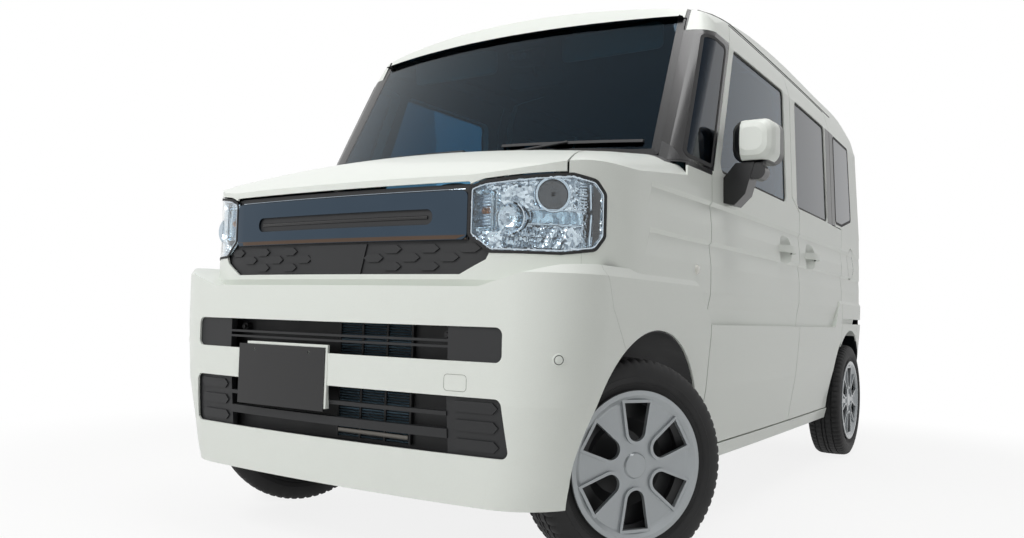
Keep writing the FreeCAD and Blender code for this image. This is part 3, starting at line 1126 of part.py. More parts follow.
def door_pieces():
    front = door(FRONT_DOOR, FRONT_WINDOW, FRONT_POCKET, FA, 12, FRONT_HANDLE_Y)
    slide = door(SLIDE_DOOR, SLIDE_WINDOW, SLIDE_POCKET, RA, 24, SLIDE_HANDLE_Y)
    out = mirrored_pair("front_door", front)
    out.update(mirrored_pair("front_door_glass", pane(side_window(FRONT_WINDOW, WINDOW_CORNER, -FIT))))
    out.update(mirrored_pair("door_mirror", door_mirror()))
    out.update(mirrored_pair("front_handle", handle(FRONT_HANDLE_Y)))
    out["sliding_doors"] = both(slide)
    out["sliding_handles"] = both(handle(SLIDE_HANDLE_Y))
    out["side_glasses"] = both(Part.makeCompound([
        pane(side_window(SLIDE_WINDOW, WINDOW_CORNER, -FIT)),
        bonded_pane(side_window(REAR_QUARTER, QUARTER_CORNER, -FIT)),
        bonded_pane(side_window(FRONT_QUARTER, FRONT_QUARTER_CORNER, -FIT))]))
    return out


def inner_pieces():
    return {"floor_pan": floor_pan(), "wheel_liners": wheel_liners(), "dashboard": dashboard(),
            "steering_wheel": steering_wheel(), "front_seats": front_seats(), "rear_seat": rear_seat(),
            "engine_block": engine_block(), "radiator": radiator(), "front_subframe": front_subframe(),
            "rear_beam": rear_beam(), "fuel_tank": fuel_tank(), "exhaust_pipe": exhaust_pipe()}


def main():
    os.makedirs("parts", exist_ok=True)
    for make in (panel_pieces, trim_pieces, door_pieces, inner_pieces, corner_pieces):
        for name, shape in make().items():
            shape.exportStep("parts/{}.step".format(name))
            print("{:24s} {:3d} faces {:2d} solids {:9.1f} cm3 {}".format(
                name, len(shape.Faces), len(shape.Solids), shape.Volume / 1000, shape.isValid()))


main()
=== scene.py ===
"""Looks of a tall kei-class wagon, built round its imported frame.

Everything is in metres in the row frame: +X is the car's own left, the nose faces -Y, +Z is up and z = 0 is the ground.
Each sub-assembly is a class that builds its own pieces, in millimetres of that frame, and sets each on its body.
"""

import json
import logging
import math
from dataclasses import dataclass, field
from enum import Enum

import bmesh
import bpy
from bpy.types import Node, NodeSocket, NodeTree, Object
from mathutils import Matrix, Vector
from mathutils.bvhtree import BVHTree


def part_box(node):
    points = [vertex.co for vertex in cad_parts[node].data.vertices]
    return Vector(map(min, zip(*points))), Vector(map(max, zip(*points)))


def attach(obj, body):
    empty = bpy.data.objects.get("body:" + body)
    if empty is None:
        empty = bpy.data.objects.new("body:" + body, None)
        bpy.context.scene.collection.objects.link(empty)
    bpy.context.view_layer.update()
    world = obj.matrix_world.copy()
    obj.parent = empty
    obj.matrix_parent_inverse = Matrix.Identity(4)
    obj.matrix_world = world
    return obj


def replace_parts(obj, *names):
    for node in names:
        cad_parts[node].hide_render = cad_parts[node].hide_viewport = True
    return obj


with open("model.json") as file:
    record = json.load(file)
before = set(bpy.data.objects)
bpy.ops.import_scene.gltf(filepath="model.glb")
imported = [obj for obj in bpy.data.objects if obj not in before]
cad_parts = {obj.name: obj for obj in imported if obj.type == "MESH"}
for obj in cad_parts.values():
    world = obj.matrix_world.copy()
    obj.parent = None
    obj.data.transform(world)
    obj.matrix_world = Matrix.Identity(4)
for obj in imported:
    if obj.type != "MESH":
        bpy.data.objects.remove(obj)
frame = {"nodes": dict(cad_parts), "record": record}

LOG = logging.getLogger("kei_wagon")
MM = 0.001
# rounded block as large as the body: faces whose normal points this far into it look into the cabin
BODY_MIDDLE, BODY_HALF, INWARD = (0, 0, 0.9), (0.737, 1.697, 0.885), -0.25

Flat = tuple[float, float]
Outline = list[Flat]
Colour = tuple[float, float, float, float]


# ---------------------------------------------------------------- node and colour helpers
def linear(colour: str) -> Colour:
    """Turns an sRGB hex colour into linear light.

    Args:
        colour: six hex digits after a hash sign.

    Returns:
        Red, green, blue and an alpha of one, as a shader socket takes them.
    """
    parts = [int(colour[k:k + 2], 16) / 255 for k in (1, 3, 5)]
    return (*[c / 12.92 if c <= 0.04045 else ((c + 0.055) / 1.055) ** 2.4 for c in parts], 1.0)


def feed(tree: NodeTree, socket: NodeSocket, value: object) -> None:
    """Links another node's output to a socket, or sets a constant on it.

    Args:
        tree: the node tree that both are in.
        socket: input that takes the value.
        value: an output socket or a constant.
    """
    if isinstance(value, NodeSocket):
        tree.links.new(value, socket)
    else:
        socket.default_value = value


def add_node(tree: NodeTree, kind: str, links: dict | None = None, **settings) -> Node:
    """Adds one node to a tree, with its settings and what it is fed from.

    Args:
        tree: the node tree.
        kind: the shader node's type name.
        links: input name or number to a constant or to another node's output socket.
        settings: properties of the node itself.

    Returns:
        The new node.
    """
    made = tree.nodes.new(f"ShaderNode{kind}")
    for name, value in settings.items():
        setattr(made, name, value)
    for name, value in (links or {}).items():
        feed(tree, made.inputs[name], value)
    return made


def maths(tree: NodeTree, operation: str, *values: object) -> NodeSocket:
    """Returns the result of a Math node fed with the values in order."""
    return add_node(tree, "Math", dict(enumerate(values)), operation=operation).outputs[0]


def vector_maths(tree: NodeTree, operation: str, *values: object, result: str = "Vector") -> NodeSocket:
    """Returns the named result of a Vector Math node fed with the values in order."""
    return add_node(tree, "VectorMath", dict(enumerate(values)), operation=operation).outputs[result]


def blend(tree: NodeTree, share: NodeSocket, low: object, high: object, kind: str = "RGBA") -> NodeSocket:
    """Returns two colours, or two numbers where `kind` is FLOAT, mixed by a share."""
    return add_node(tree, "Mix", {"Factor": share, "A": low, "B": high}, data_type=kind).outputs["Result"]


def here(tree: NodeTree) -> NodeSocket:
    """Returns the shaded point's place in the object's own coordinates."""
    return add_node(tree, "TexCoord").outputs["Object"]


def seen_plainly(tree: NodeTree) -> NodeSocket:
    """Returns one for camera, transmission and glossy rays, which show white surroundings, and nought for light.

    Args:
        tree: a material's or the world's node tree.

    Returns:
        The socket of that value.
    """
    path = add_node(tree, "LightPath").outputs
    direct = maths(tree, "MAXIMUM", path["Is Camera Ray"], path["Is Transmission Ray"])
    return maths(tree, "MAXIMUM", direct, path["Is Glossy Ray"])


# ---------------------------------------------------------------- finishes
@dataclass(frozen=True)
class Finish:
    """A surface of one sRGB colour, with the record's slot for pieces of it. Subclasses add what the real one shows.

    `wander` is the share that colour and roughness vary by, in patches of `patch_mm`; `relief` is the bump's strength.
    """

    name: str
    colour: str
    roughness: float = 0.5
    metallic: float = 0.0
    ior: float = 1.5
    coat: float = 0.0
    slot: str = "black_plastic"
    patch_mm: float = 40.0
    wander: float = 0.04
    relief: float = 1.0

    def material(self) -> bpy.types.Material:
        """Returns the Blender material, made once and then shared.

        Returns:
            The material.
        """
        found = bpy.data.materials.get(self.name)
        if found:
            return found
        made = bpy.data.materials.new(self.name)
        made.use_nodes = True
        tree = made.node_tree
        tree.nodes.clear()
        shader = add_node(tree, "BsdfPrincipled", {
            "Base Color": linear(self.colour), "Roughness": self.roughness, "Metallic": self.metallic,
            "IOR": self.ior, "Coat Weight": self.coat})
        output = add_node(tree, "OutputMaterial", {"Surface": shader.outputs[0]})
        self.dress(tree, shader, output)
        return made

    def dress(self, tree: NodeTree, shader: Node, output: Node) -> None:
        """Adds the pattern. A plain finish lets its colour and roughness wander a little.

        Args:
            tree: the material's node tree.
            shader: its principled shader.
            output: its material output; not used.
        """
        self.vary(tree, shader)

    def place(self, tree: NodeTree, size_mm: float) -> NodeSocket:
        """Returns object coordinates scaled so that one unit is `size_mm` real millimetres."""
        return add_node(tree, "VectorMath", {0: here(tree), "Scale": 1 / (size_mm * MM)}, operation="SCALE").outputs[0]

    def pattern(self, tree: NodeTree, kind: str, size_mm: float, **inputs: object) -> Node:
        """Adds a texture on object coordinates.

        Args:
            tree: the material's node tree.
            kind: the texture node's type name.
            size_mm: width of one unit of the pattern, in real millimetres.
            inputs: more inputs of the texture by name.

        Returns:
            The texture node.
        """
        return add_node(tree, kind, {"Vector": self.place(tree, size_mm), "Scale": 1.0, **inputs})

    def shades(self, amount: float) -> tuple[Colour, Colour]:
        """Returns the colour darker and lighter by a share."""
        base = linear(self.colour)[:3]
        return (*[c * (1 - amount) for c in base], 1), (*[min(c * (1 + amount), 1) for c in base], 1)

    def vary(self, tree: NodeTree, shader: Node) -> None:
        """Lets the colour and the roughness wander a little in patches, as dust and handling leave them.

        Args:
            tree: the material's node tree.
            shader: its principled shader.
        """
        noise = self.pattern(tree, "TexNoise", self.patch_mm, Detail=3.0).outputs["Fac"]
        feed(tree, shader.inputs["Base Color"], blend(tree, noise, *self.shades(self.wander)))
        low, high = (self.roughness * (1 + sign * self.wander) for sign in (-1, 1))
        rough = add_node(tree, "MapRange", {"Value": noise, "To Min": low, "To Max": high})
        feed(tree, shader.inputs["Roughness"], rough.outputs["Result"])

    def emboss(self, tree: NodeTree, shader: Node, height: NodeSocket, depth_mm: float, onto: str = "Normal") -> None:
        """Feeds a height pattern to the shader's normal, at the finish's own share of relief.

        Args:
            tree: the material's node tree.
            shader: its principled shader.
            height: pattern from 0 to 1.
            depth_mm: height of the relief.
            onto: the shader input that takes it.
        """
        bump = add_node(tree, "Bump", {"Height": height, "Distance": depth_mm * MM, "Strength": self.relief})
        feed(tree, shader.inputs[onto], bump.outputs[0])


@dataclass(frozen=True)
class Zone:
    """Box in the car's frame, in millimetres, mirrored on both sides, where a part changes its finish."""

    low: tuple[float, float, float]
    high: tuple[float, float, float]

    def mask(self, tree: NodeTree) -> NodeSocket:
        """Returns one inside the box and nought outside.

        Args:
            tree: the material's node tree.

        Returns:
            The socket of that value.
        """
        split = add_node(tree, "SeparateXYZ", {0: here(tree)}).outputs
        found = None
        for value, low, high in zip((maths(tree, "ABSOLUTE", split[0]), split[1], split[2]), self.low, self.high):
            near = maths(tree, "COMPARE", value, (low + high) / 2 * MM, (high - low) / 2 * MM)
            found = near if found is None else maths(tree, "MULTIPLY", found, near)
        return found


@dataclass(frozen=True)
class PearlPaint(Finish):
    """Sprayed pearl under clear coat: flakes finer than the eye, a faint orange peel and trim on the inner side."""

    slot: str = "white_paint"
    wander: float = 0.03
    relief: float = 0.3
    flake_mm: float = 1.2
    peel_mm: float = 3.0
    peel_depth_mm: float = 0.01
    trim: str = "#2A2C2F"
    trim_roughness: float = 0.85
    film: str = "#101113"
    film_roughness: float = 0.3
    zones: tuple[Zone, ...] = ()
    lined: bool = True

    def inner_side(self, tree: NodeTree) -> NodeSocket:
        """Returns one on faces that look into the cabin, which carry trim and not paint.

        Args:
            tree: the material's node tree.

        Returns:
            The socket of that value.
        """
        shape = vector_maths(tree, "DIVIDE", vector_maths(tree, "SUBTRACT", here(tree), BODY_MIDDLE), BODY_HALF)
        square = vector_maths(tree, "MULTIPLY", shape, shape)
        fifth = vector_maths(tree, "MULTIPLY", vector_maths(tree, "MULTIPLY", square, square), shape)
        normal = add_node(tree, "NewGeometry").outputs["True Normal"]
        return maths(tree, "LESS_THAN", vector_maths(tree, "DOT_PRODUCT", normal, fifth, result="Value"), INWARD)

    def dress(self, tree: NodeTree, shader: Node, output: Node) -> None:
        """Mixes two shades of flake, adds the peel, and lays trim and black film where they belong.

        Args:
            tree: the material's node tree.
            shader: its principled shader.
            output: its material output; not used.
        """
        flakes = self.pattern(tree, "TexVoronoi", self.flake_mm)
        dark, light = self.shades(self.wander)
        colour = blend(tree, flakes.outputs["Distance"], light, dark)
        rough, coat = self.roughness, self.coat
        masks = [(self.inner_side(tree), self.trim, self.trim_roughness)] if self.lined else []
        masks += [(zone.mask(tree), self.film, self.film_roughness) for zone in self.zones]
        for mask, shade, its_roughness in masks:
            colour = blend(tree, mask, colour, linear(shade))
            rough = blend(tree, mask, rough, its_roughness, "FLOAT")
            coat = blend(tree, mask, coat, 0.0, "FLOAT")
        for name, value in (("Base Color", colour), ("Roughness", rough), ("Coat Weight", coat)):
            feed(tree, shader.inputs[name], value)
        peel = self.pattern(tree, "TexNoise", self.peel_mm)
        self.emboss(tree, shader, peel.outputs["Fac"], self.peel_depth_mm, "Coat Normal")


@dataclass(frozen=True)
class GrainedMoulding(Finish):
    """Injection-moulded plastic from an etched tool: a fine leather-like grain that scatters light."""

    patch_mm: float = 60.0
    wander: float = 0.12
    relief: float = 0.6
    grain_mm: float = 1.4
    grain_depth_mm: float = 0.12

    def dress(self, tree: NodeTree, shader: Node, output: Node) -> None:
        """Lets colour and roughness wander in patches and lays rounded grain cells in the normal.

        Args:
            tree: the material's node tree.
            shader: its principled shader.
            output: its material output; not used.
        """
        self.vary(tree, shader)
        cells = self.pattern(tree, "TexVoronoi", self.grain_mm)
        self.emboss(tree, shader, cells.outputs["Distance"], self.grain_depth_mm)


@dataclass(frozen=True)
class WovenCloth(Finish):
    """Flat-woven upholstery: crossed yarns, a soft sheen and a heathered colour."""

    slot: str = "grey_fabric"
    relief: float = 0.7
    yarn_mm: float = 1.6
    yarn_wobble: float = 0.4
    yarn_depth_mm: float = 0.35
    fleck_mm: float = 7.0
    fleck: str = "#5A5E63"
    sheen: float = 0.4

    def dress(self, tree: NodeTree, shader: Node, output: Node) -> None:
        """Crosses two sets of yarns, lifts them in the normal and flecks their colour.

        Args:
            tree: the material's node tree.
            shader: its principled shader.
            output: its material output; not used.
        """
        yarns = []
        for direction in ("X", "Z"):
            wave = self.pattern(tree, "TexWave", self.yarn_mm, Scale=0.5, Distortion=self.yarn_wobble)
            wave.bands_direction = direction
            yarns.append(wave.outputs["Fac"])
        weave = maths(tree, "MULTIPLY", *yarns)
        noise = self.pattern(tree, "TexNoise", self.fleck_mm, Detail=4.0)
        fleck = maths(tree, "MULTIPLY", noise.outputs["Fac"], weave)
        feed(tree, shader.inputs["Base Color"], blend(tree, fleck, linear(self.colour), linear(self.fleck)))
        shader.inputs["Sheen Weight"].default_value = self.sheen
        self.emboss(tree, shader, weave, self.yarn_depth_mm)


@dataclass(frozen=True)
class BrushedPlate(Finish):
    """Bare or plated metal: fine drawn lines, with a faint drift of the tone."""

    slot: str = "dark_chrome"
    patch_mm: float = 120.0
    wander: float = 0.06
    relief: float = 0.5
    grain_mm: float = 0.8
    stretch: float = 30.0
    depth_mm: float = 0.01

    def dress(self, tree: NodeTree, shader: Node, output: Node) -> None:
        """Stretches noise along the car's width for the drawn lines.

        Args:
            tree: the material's node tree.
            shader: its principled shader.
            output: its material output; not used.
        """
        self.vary(tree, shader)
        drawn = vector_maths(tree, "MULTIPLY", self.place(tree, self.grain_mm), (1 / self.stretch, 1, 1))
        lines = add_node(tree, "TexNoise", {"Vector": drawn, "Scale": 1.0, "Detail": 2.0})
        self.emboss(tree, shader, lines.outputs["Fac"], self.depth_mm)


@dataclass(frozen=True)
class FacetedReflector(BrushedPlate):
    """Reflector metal pressed into small pillows, each with its own tone of painted reflection, as if it caught another
    part of the room.
    """

    relief: float = 0.9
    pillow_mm: float = 8.0
    pillow_depth_mm: float = 2.2
    # darkest tone of the painted reflection on the pillows
    shaded: str = "#74828E"

    def dress(self, tree: NodeTree, shader: Node, output: Node) -> None:
        """Gives each pillow its own tone of painted reflection, between the dark colour and the plain one, and rounds
        it in the normal.

        Args:
            tree: the material's node tree.
            shader: its principled shader.
            output: its material output; not used.
        """
        cells = self.pattern(tree, "TexVoronoi", self.pillow_mm)
        # painted reflection: a random tone for each pillow
        tone = add_node(tree, "SeparateColor", {0: cells.outputs["Color"]}).outputs[0]
        feed(tree, shader.inputs["Base Color"], blend(tree, tone, linear(self.shaded), linear(self.colour)))
        self.emboss(tree, shader, cells.outputs["Distance"], self.pillow_depth_mm)


@dataclass(frozen=True)
class SafetyGlass(Finish):
    """Clear melt-tinted glass or acrylic: lamps reach what is behind it."""

    slot: str = "clear_lens"
    relief: float = 0.2
    tint: str = "#8FA9A2"
    ripple_mm: float = 300.0
    ripple_depth_mm: float = 0.05
    shine: float = 0.5
    # tint of the reflection: a painted reflection colour wherever it isn't white
    sheen_tone: str = "#FFFFFF"

    def dress(self, tree: NodeTree, shader: Node, output: Node) -> None:
        """Makes the pane clear for lamps, with a faint waviness of the reflection and a painted tint on the reflection.

        Args:
            tree: the material's node tree.
            shader: its principled shader.
            output: its material output.
        """
        # Specular Tint colours the reflection: a painted sky reflection on the window panes
        for name, value in (("Transmission Weight", 1.0), ("Specular IOR Level", self.shine),
                            ("Specular Tint", linear(self.sheen_tone))):
            feed(tree, shader.inputs[name], value)
        wave = self.pattern(tree, "TexNoise", self.ripple_mm)
        self.emboss(tree, shader, wave.outputs["Fac"], self.ripple_depth_mm)
        clear = add_node(tree, "BsdfTransparent", {"Color": linear(self.tint)})
        shadow = add_node(tree, "LightPath").outputs["Is Shadow Ray"]
        mix = add_node(tree, "MixShader", {0: shadow, 1: shader.outputs[0], 2: clear.outputs[0]})
        feed(tree, output.inputs["Surface"], mix.outputs[0])


PEARL_WHITE = "#E6EAE4"
# body colour: a warm white whose clear coat gives the highlights along the shoulders
PAINT = PearlPaint("pearl_white_paint", PEARL_WHITE, 0.42, coat=0.2)
# the pillars beside the screen and between the rear panes carry black film
PILLAR_PAINT = PearlPaint("pearl_paint_black_film", PEARL_WHITE, 0.42, coat=0.2, zones=(
    Zone((600, 730, 1114), (760, 907, 1556)), Zone((560, -1080, 1097), (760, -801, 1572))))
# painted mirror cap whose inner face and arm are bare black plastic
MIRROR_PAINT = PearlPaint("pearl_paint_black_arm", PEARL_WHITE, 0.42, coat=0.2, lined=False, zones=(
    Zone((600, -900, 900), (1000, -500, 1152)), Zone((700, -900, 900), (786, -500, 1400)),
    Zone((600, -650, 900), (1000, -500, 1400))))
# wheel covers: fine aluminium flake, a step darker and duller than bright metal
SILVER_PAINT = PearlPaint("silver_painted_nylon", "#A6ABAE", 0.34, 0.35, coat=0.4, lined=False)
# unpainted mouldings: matt grain that keeps the mouths and arches dark
BLACK_GRAIN = GrainedMoulding("grained_black_polypropylene", "#17181A", 0.55)
# carbon-filled rubber: nearly black, dull, with a fine bloom
RUBBER = GrainedMoulding("vulcanised_rubber", "#161617", 0.74, grain_mm=2.0)
# polished black trim with a clear but dark reflection
GLOSS_BLACK = Finish("piano_black_abs", "#0A0A0C", 0.2, coat=0.1, slot="gloss_black")
# black enamel baked onto the edge of the glass
CERAMIC_PRINT = Finish("ceramic_frit", "#0D0E10", 0.22, slot="gloss_black")
# thin shut lines read as soft grey
SEAM_SHADE = Finish("shut_line_shadow", "#8F918A", 0.8)
# wheels, arms and bolts: a low even shine on black
STEEL_BLACK = Finish("black_coated_steel", "#1B1C1E", 0.45, slot="steel")
# dull grey castings of the engine bay
CAST = Finish("cast_aluminium", "#8A8C8E", 0.5, 0.9)
# side indicator cover, frosted so that its bulb does not show
FROSTED = Finish("frosted_marker_cover", "#E9E7E0", 0.25, coat=0.5, slot="clear_lens")
# main-beam dome: a dark eye with one sharp highlight
PROJECTOR_GLASS = Finish("projector_lens_glass", "#141B22", 0.05, coat=1.0, slot="gloss_black")
# the door mirrors' glass gives a cool, nearly perfect image
MIRROR_SILVER = Finish("silvered_mirror_glass", "#C9D2D6", 0.02, 1.0, slot="dark_chrome")
# panes' IOR, and the blue tint of their reflections: a painted sky reflection
PANE_IOR, PANE_PAINTED_SKY_REFLECTION = 1.33, "#7FB0E0"
# green-blue laminated glass, darkest where the cabin is unlit; its reflections carry a painted blue sky tint
WINDSCREEN_GLASS = SafetyGlass(
    "laminated_windscreen", "#527888", 0.0, ior=PANE_IOR, tint="#8FA9B0", shine=0.2, sheen_tone="#9CC4E4")
# deeply tinted rear panes, whose reflections carry a painted blue sky tint
PRIVACY_GLASS = SafetyGlass(
    "privacy_glass", "#15222E", 0.0, ior=PANE_IOR, tint="#39464A", shine=0.1, sheen_tone=PANE_PAINTED_SKY_REFLECTION)
# front door panes, a little bluer than the screen, whose reflections carry a painted blue sky tint
DOOR_GLASS = SafetyGlass(
    "toughened_door_glass", "#3A6078", 0.0, ior=PANE_IOR, tint="#7F9AA4", shine=0.1, sheen_tone=PANE_PAINTED_SKY_REFLECTION)
# hard-coated lamp cover, clear enough to show every part behind it
LENS = SafetyGlass("clear_polycarbonate", "#F6FAFC", 0.0, ior=1.4, tint="#F4F8FA")
# thick clear lamp optics with a slight swirl from the mould
LAMP_ACRYLIC = SafetyGlass(
    "lamp_acrylic", "#E6F2F8", 0.06, ior=1.49, tint="#E6F2F8", ripple_mm=9.0, ripple_depth_mm=0.4)
# indicator bulb: a pale orange that shows only from close by
AMBER = SafetyGlass("amber_bulb_glass", "#D98A5A", 0.1, ior=1.45, tint="#E0A070")
# tail lamps: deep red that brightens at thin edges
RED_ACRYLIC = SafetyGlass("red_tail_acrylic", "#C01A18", 0.08, ior=1.49, tint="#C01A18", slot="red_lens")
# smoked plating: darker than chrome, so that only bright things show in it; its dark blue-grey is also a painted
# reflection of the sky and the dark ground
SMOKED_CHROME_PAINTED_SKY = BrushedPlate("smoked_chrome_plate", "#3F4B57", 0.07, 1.0, depth_mm=0.002)
# vapour-deposited reflector metal, near mirror
BRIGHT_CHROME = BrushedPlate("vapour_deposited_aluminium", "#C2CDD6", 0.09, 1.0, depth_mm=0.004)
# painted shade: a dark brownish plate on the bevel along the bar's underside, which turns away from the light
BAR_UNDERSIDE_PAINTED_SHADE = BrushedPlate("bronze_tinted_plate", "#5A4C42", 0.2, 1.0)
# bare pipe, dulled by heat
RAW_STEEL = BrushedPlate("exhaust_steel", "#77746F", 0.42, 1.0, slot="raw_steel")
# cooler fins: blue-grey alloy that lifts the dark mouths a little
COOLER_ALLOY = BrushedPlate("brazed_cooler_alloy", "#5E7482", 0.5, 0.6, slot="cast_alloy")
# pillow optics of the lamp tray, which break the light into sparks; each pillow's tone is painted reflection
LAMP_TRAY = FacetedReflector("pillow_reflector_metal", "#E2EAF0", 0.1, 1.0)
# dark flat weave that keeps the seats quiet behind the glass
FABRIC = WovenCloth("woven_seat_fabric", "#33363A", 0.9)
# light fuzzy lining of the sun visors
HEADLINING = WovenCloth("napped_headlining", "#8C8A84", 0.95, fleck="#9C9A94")

WHEEL_WAYS = {joint["child"]: Vector(joint["axis"]).normalized() for joint in frame["record"]["behaviour"]["joints"]}




# ---------------------------------------------------------------- mesh building, in millimetres
Loop = list[tuple[Vector, Vector, Vector]]
# points this close become one, in new pieces and on the frame's borders
WELD, BORDER_WELD = 0.01, 0.02
# a distance outside the car on every side, and the fewest points of a border that counts
OUTSIDE, SHORTEST_LOOP = 3000, 8
# sine under which a path counts as upright
UPRIGHT = 0.05


class Axis(Enum):
    """Line that a flat profile is drawn across."""

    X = 0
    Y = 1
    Z = 2

    def point(self, along: float, u: float, v: float) -> Vector:
        """Returns the point at `along` on this axis with the profile coordinates u and v."""
        rows = {Axis.X: (along, u, v), Axis.Y: (u, along, v), Axis.Z: (u, v, along)}
        return Vector(rows[self])


class Side(Enum):
    """Side of the car."""

    LEFT = 1
    RIGHT = -1

    @property
    def tag(self) -> str:
        """Ending of node and body names on this side."""
        return self.name.lower()


def rounded_outline(centre: Flat, half: Flat, radius: float, steps: int = 6) -> Outline:
    """Returns the corner-rounded rectangle as (u, v) points.

    Args:
        centre: its middle.
        half: half width and half height.
        radius: corner radius.
        steps: points in each corner.

    Returns:
        The points, once round.
    """
    radius = min(radius, *half)
    points = []
    for corner, (su, sv) in enumerate(((1, 1), (-1, 1), (-1, -1), (1, -1))):
        for k in range(steps):
            angle = math.radians(90) * (corner + k / (steps - 1))
            points.append((centre[0] + su * (half[0] - radius) + radius * math.cos(angle),
                           centre[1] + sv * (half[1] - radius) + radius * math.sin(angle)))
    return points


def series(row: tuple[float, float, int]) -> list[float]:
    """Returns evenly spaced numbers from a row of first value, pitch and count."""
    first, pitch, count = row
    return [first + pitch * k for k in range(count)]


def arc(count: int, start: float = 0.0, span: float = 360.0) -> list[Flat]:
    """Returns cosine and sine at `count` angles, `span / count` degrees apart from `start`."""
    return [(math.cos(a), math.sin(a)) for a in (math.radians(start + span * k / count) for k in range(count))]


def to_scene(name: str, data: bpy.types.ID, finish: Finish | None = None) -> Object:
    """Makes an object of some data, in its finish, and puts it in the scene.

    Args:
        name: name of the object.
        data: its mesh, lamp or camera data.
        finish: its finish, if it takes one.

    Returns:
        The object.
    """
    made = bpy.data.objects.new(name, data)
    bpy.context.scene.collection.objects.link(made)
    if finish:
        data.materials.append(finish.material())
    return made


def smooth(mesh: bpy.types.Mesh) -> None:
    """Shades every face of a mesh smoothly."""
    mesh.polygons.foreach_set("use_smooth", [True] * len(mesh.polygons))


@dataclass
class Piece:
    """One modelled piece, put together step by step; `slot` is given where it isn't the finish's own."""

    name: str
    finish: Finish
    body: str = "body"
    slot: str = ""
    verts: list[Vector] = field(default_factory=list)
    faces: list[tuple[int, ...]] = field(default_factory=list)

    def add(self, verts: list[Vector], faces: list[tuple[int, ...]]) -> "Piece":
        """Adds points and the faces between them.

        Args:
            verts: the points.
            faces: each face's points, counted from the first of `verts`.

        Returns:
            The piece itself, so that calls can be chained.
        """
        start = len(self.verts)
        self.verts += [Vector(v) for v in verts]
        self.faces += [tuple(start + k for k in face) for face in faces]
        return self

    def loft(self, rings: list[list[Vector]], closed: bool = False) -> "Piece":
        """Joins rings of equally many points; an open stack gets end faces.

        Args:
            rings: the rings, in order.
            closed: whether the last ring joins the first.

        Returns:
            The piece itself, so that calls can be chained.
        """
        count, size = len(rings), len(rings[0])
        faces = []
        for r in range(count if closed else count - 1):
            this, after = r * size, (r + 1) % count * size
            faces += [(this + k, this + (k + 1) % size, after + (k + 1) % size, after + k) for k in range(size)]
        if not closed:
            faces += [tuple(reversed(range(size))), tuple(range((count - 1) * size, count * size))]
        return self.add([p for ring in rings for p in ring], faces)

    def sheet(self, rows: list[list[Vector]]) -> "Piece":
        """Joins rows of equally many points into one open sheet.

        Args:
            rows: the rows, in order.

        Returns:
            The piece itself, so that calls can be chained.
        """
        size = len(rows[0])
        faces = [(r * size + k, r * size + k + 1, (r + 1) * size + k + 1, (r + 1) * size + k)
                 for r in range(len(rows) - 1) for k in range(size - 1)]
        return self.add([p for row in rows for p in row], faces)

    def prism(self, outline: Outline, axis: Axis, start: float, end: float) -> "Piece":
        """Draws an outline out along an axis."""
        return self.loft([[axis.point(s, u, v) for u, v in outline] for s in (start, end)])

    def frame_ring(self, outer: Outline, inner: Outline, axis: Axis, start: float, end: float) -> "Piece":
        """Draws the ring between two outlines of equally many points out along an axis.

        Args:
            outer: the outline outside.
            inner: the outline inside.
            axis: the way that they are drawn.
            start: place of the first end on that axis.
            end: place of the other end.

        Returns:
            The piece itself, so that calls can be chained.
        """
        rings = [[axis.point(start, *a), axis.point(start, *b), axis.point(end, *b), axis.point(end, *a)]
                 for a, b in zip(outer, inner)]
        return self.loft(rings, closed=True)

    def tube(self, path: list[Vector], wide: float, tall: float, closed: bool = False, sides: int = 10) -> "Piece":
        """Sweeps an ellipse along a path; `tall` is measured towards the sky.

        Args:
            path: points along its middle.
            wide: its width across the path.
            tall: its height.
            closed: whether the path's end joins its start.
            sides: points in each ring.

        Returns:
            The piece itself, so that calls can be chained.
        """
        path = [Vector(p) for p in path]
        rings = []
        for k, point in enumerate(path):
            before = path[k - 1] if k or closed else point
            after = path[(k + 1) % len(path)] if k < len(path) - 1 or closed else point
            ahead = (after - before).normalized()
            side = ahead.cross(Vector((0, 0, 1)))
            side = side.normalized() if side.length > UPRIGHT else Vector((1, 0, 0))
            up = side.cross(ahead)
            rings.append([point + side * wide / 2 * c + up * tall / 2 * s for c, s in arc(sides)])
        return self.loft(rings, closed)

    def spin(self, profile: Outline, centre: Vector, way: Vector, steps: int = 32) -> "Piece":
        """Turns a closed profile of (distance along `way`, radius) points about that line.

        Args:
            profile: the profile.
            centre: a point on the line.
            way: direction of the line.
            steps: rings in a full turn.

        Returns:
            The piece itself, so that calls can be chained.
        """
        way = Vector(way).normalized()
        side = way.orthogonal().normalized()
        other = way.cross(side)
        rings = [[Vector(centre) + way * along + (side * c + other * s) * radius for along, radius in profile]
                 for c, s in arc(steps)]
        return self.loft(rings, closed=True)

    def pair(self, bevel: float = 0.0, sharp: float = 35.0) -> Object:
        """Adds the mirror image on the other side of the car, then makes the object as `done` does."""
        self.add([Vector((-v.x, v.y, v.z)) for v in self.verts], [tuple(reversed(f)) for f in self.faces])
        return self.done(bevel, sharp)

    def done(self, bevel: float = 0.0, sharp: float = 35.0) -> Object:
        """Makes the object.

        Args:
            bevel: width of the rounding on its edges, in millimetres.
            sharp: largest angle between faces that still reads as one surface, in degrees.

        Returns:
            The object, riding on its body.
        """
        mesh = bpy.data.meshes.new(self.name)
        mesh.from_pydata([v * MM for v in self.verts], [], self.faces)
        work = bmesh.new()
        work.from_mesh(mesh)
        bmesh.ops.remove_doubles(work, verts=work.verts, dist=WELD * MM)
        bmesh.ops.recalc_face_normals(work, faces=work.faces)
        work.to_mesh(mesh)
        work.free()
        smooth(mesh)
        mesh.set_sharp_from_angle(angle=math.radians(sharp))
        made = to_scene(self.name, mesh, self.finish)
        if bevel:
            rounding = made.modifiers.new("edge", "BEVEL")
            rounding.width = bevel * MM
            rounding.segments = 2
            rounding.limit_method = "ANGLE"
        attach(made, self.body)
        return made


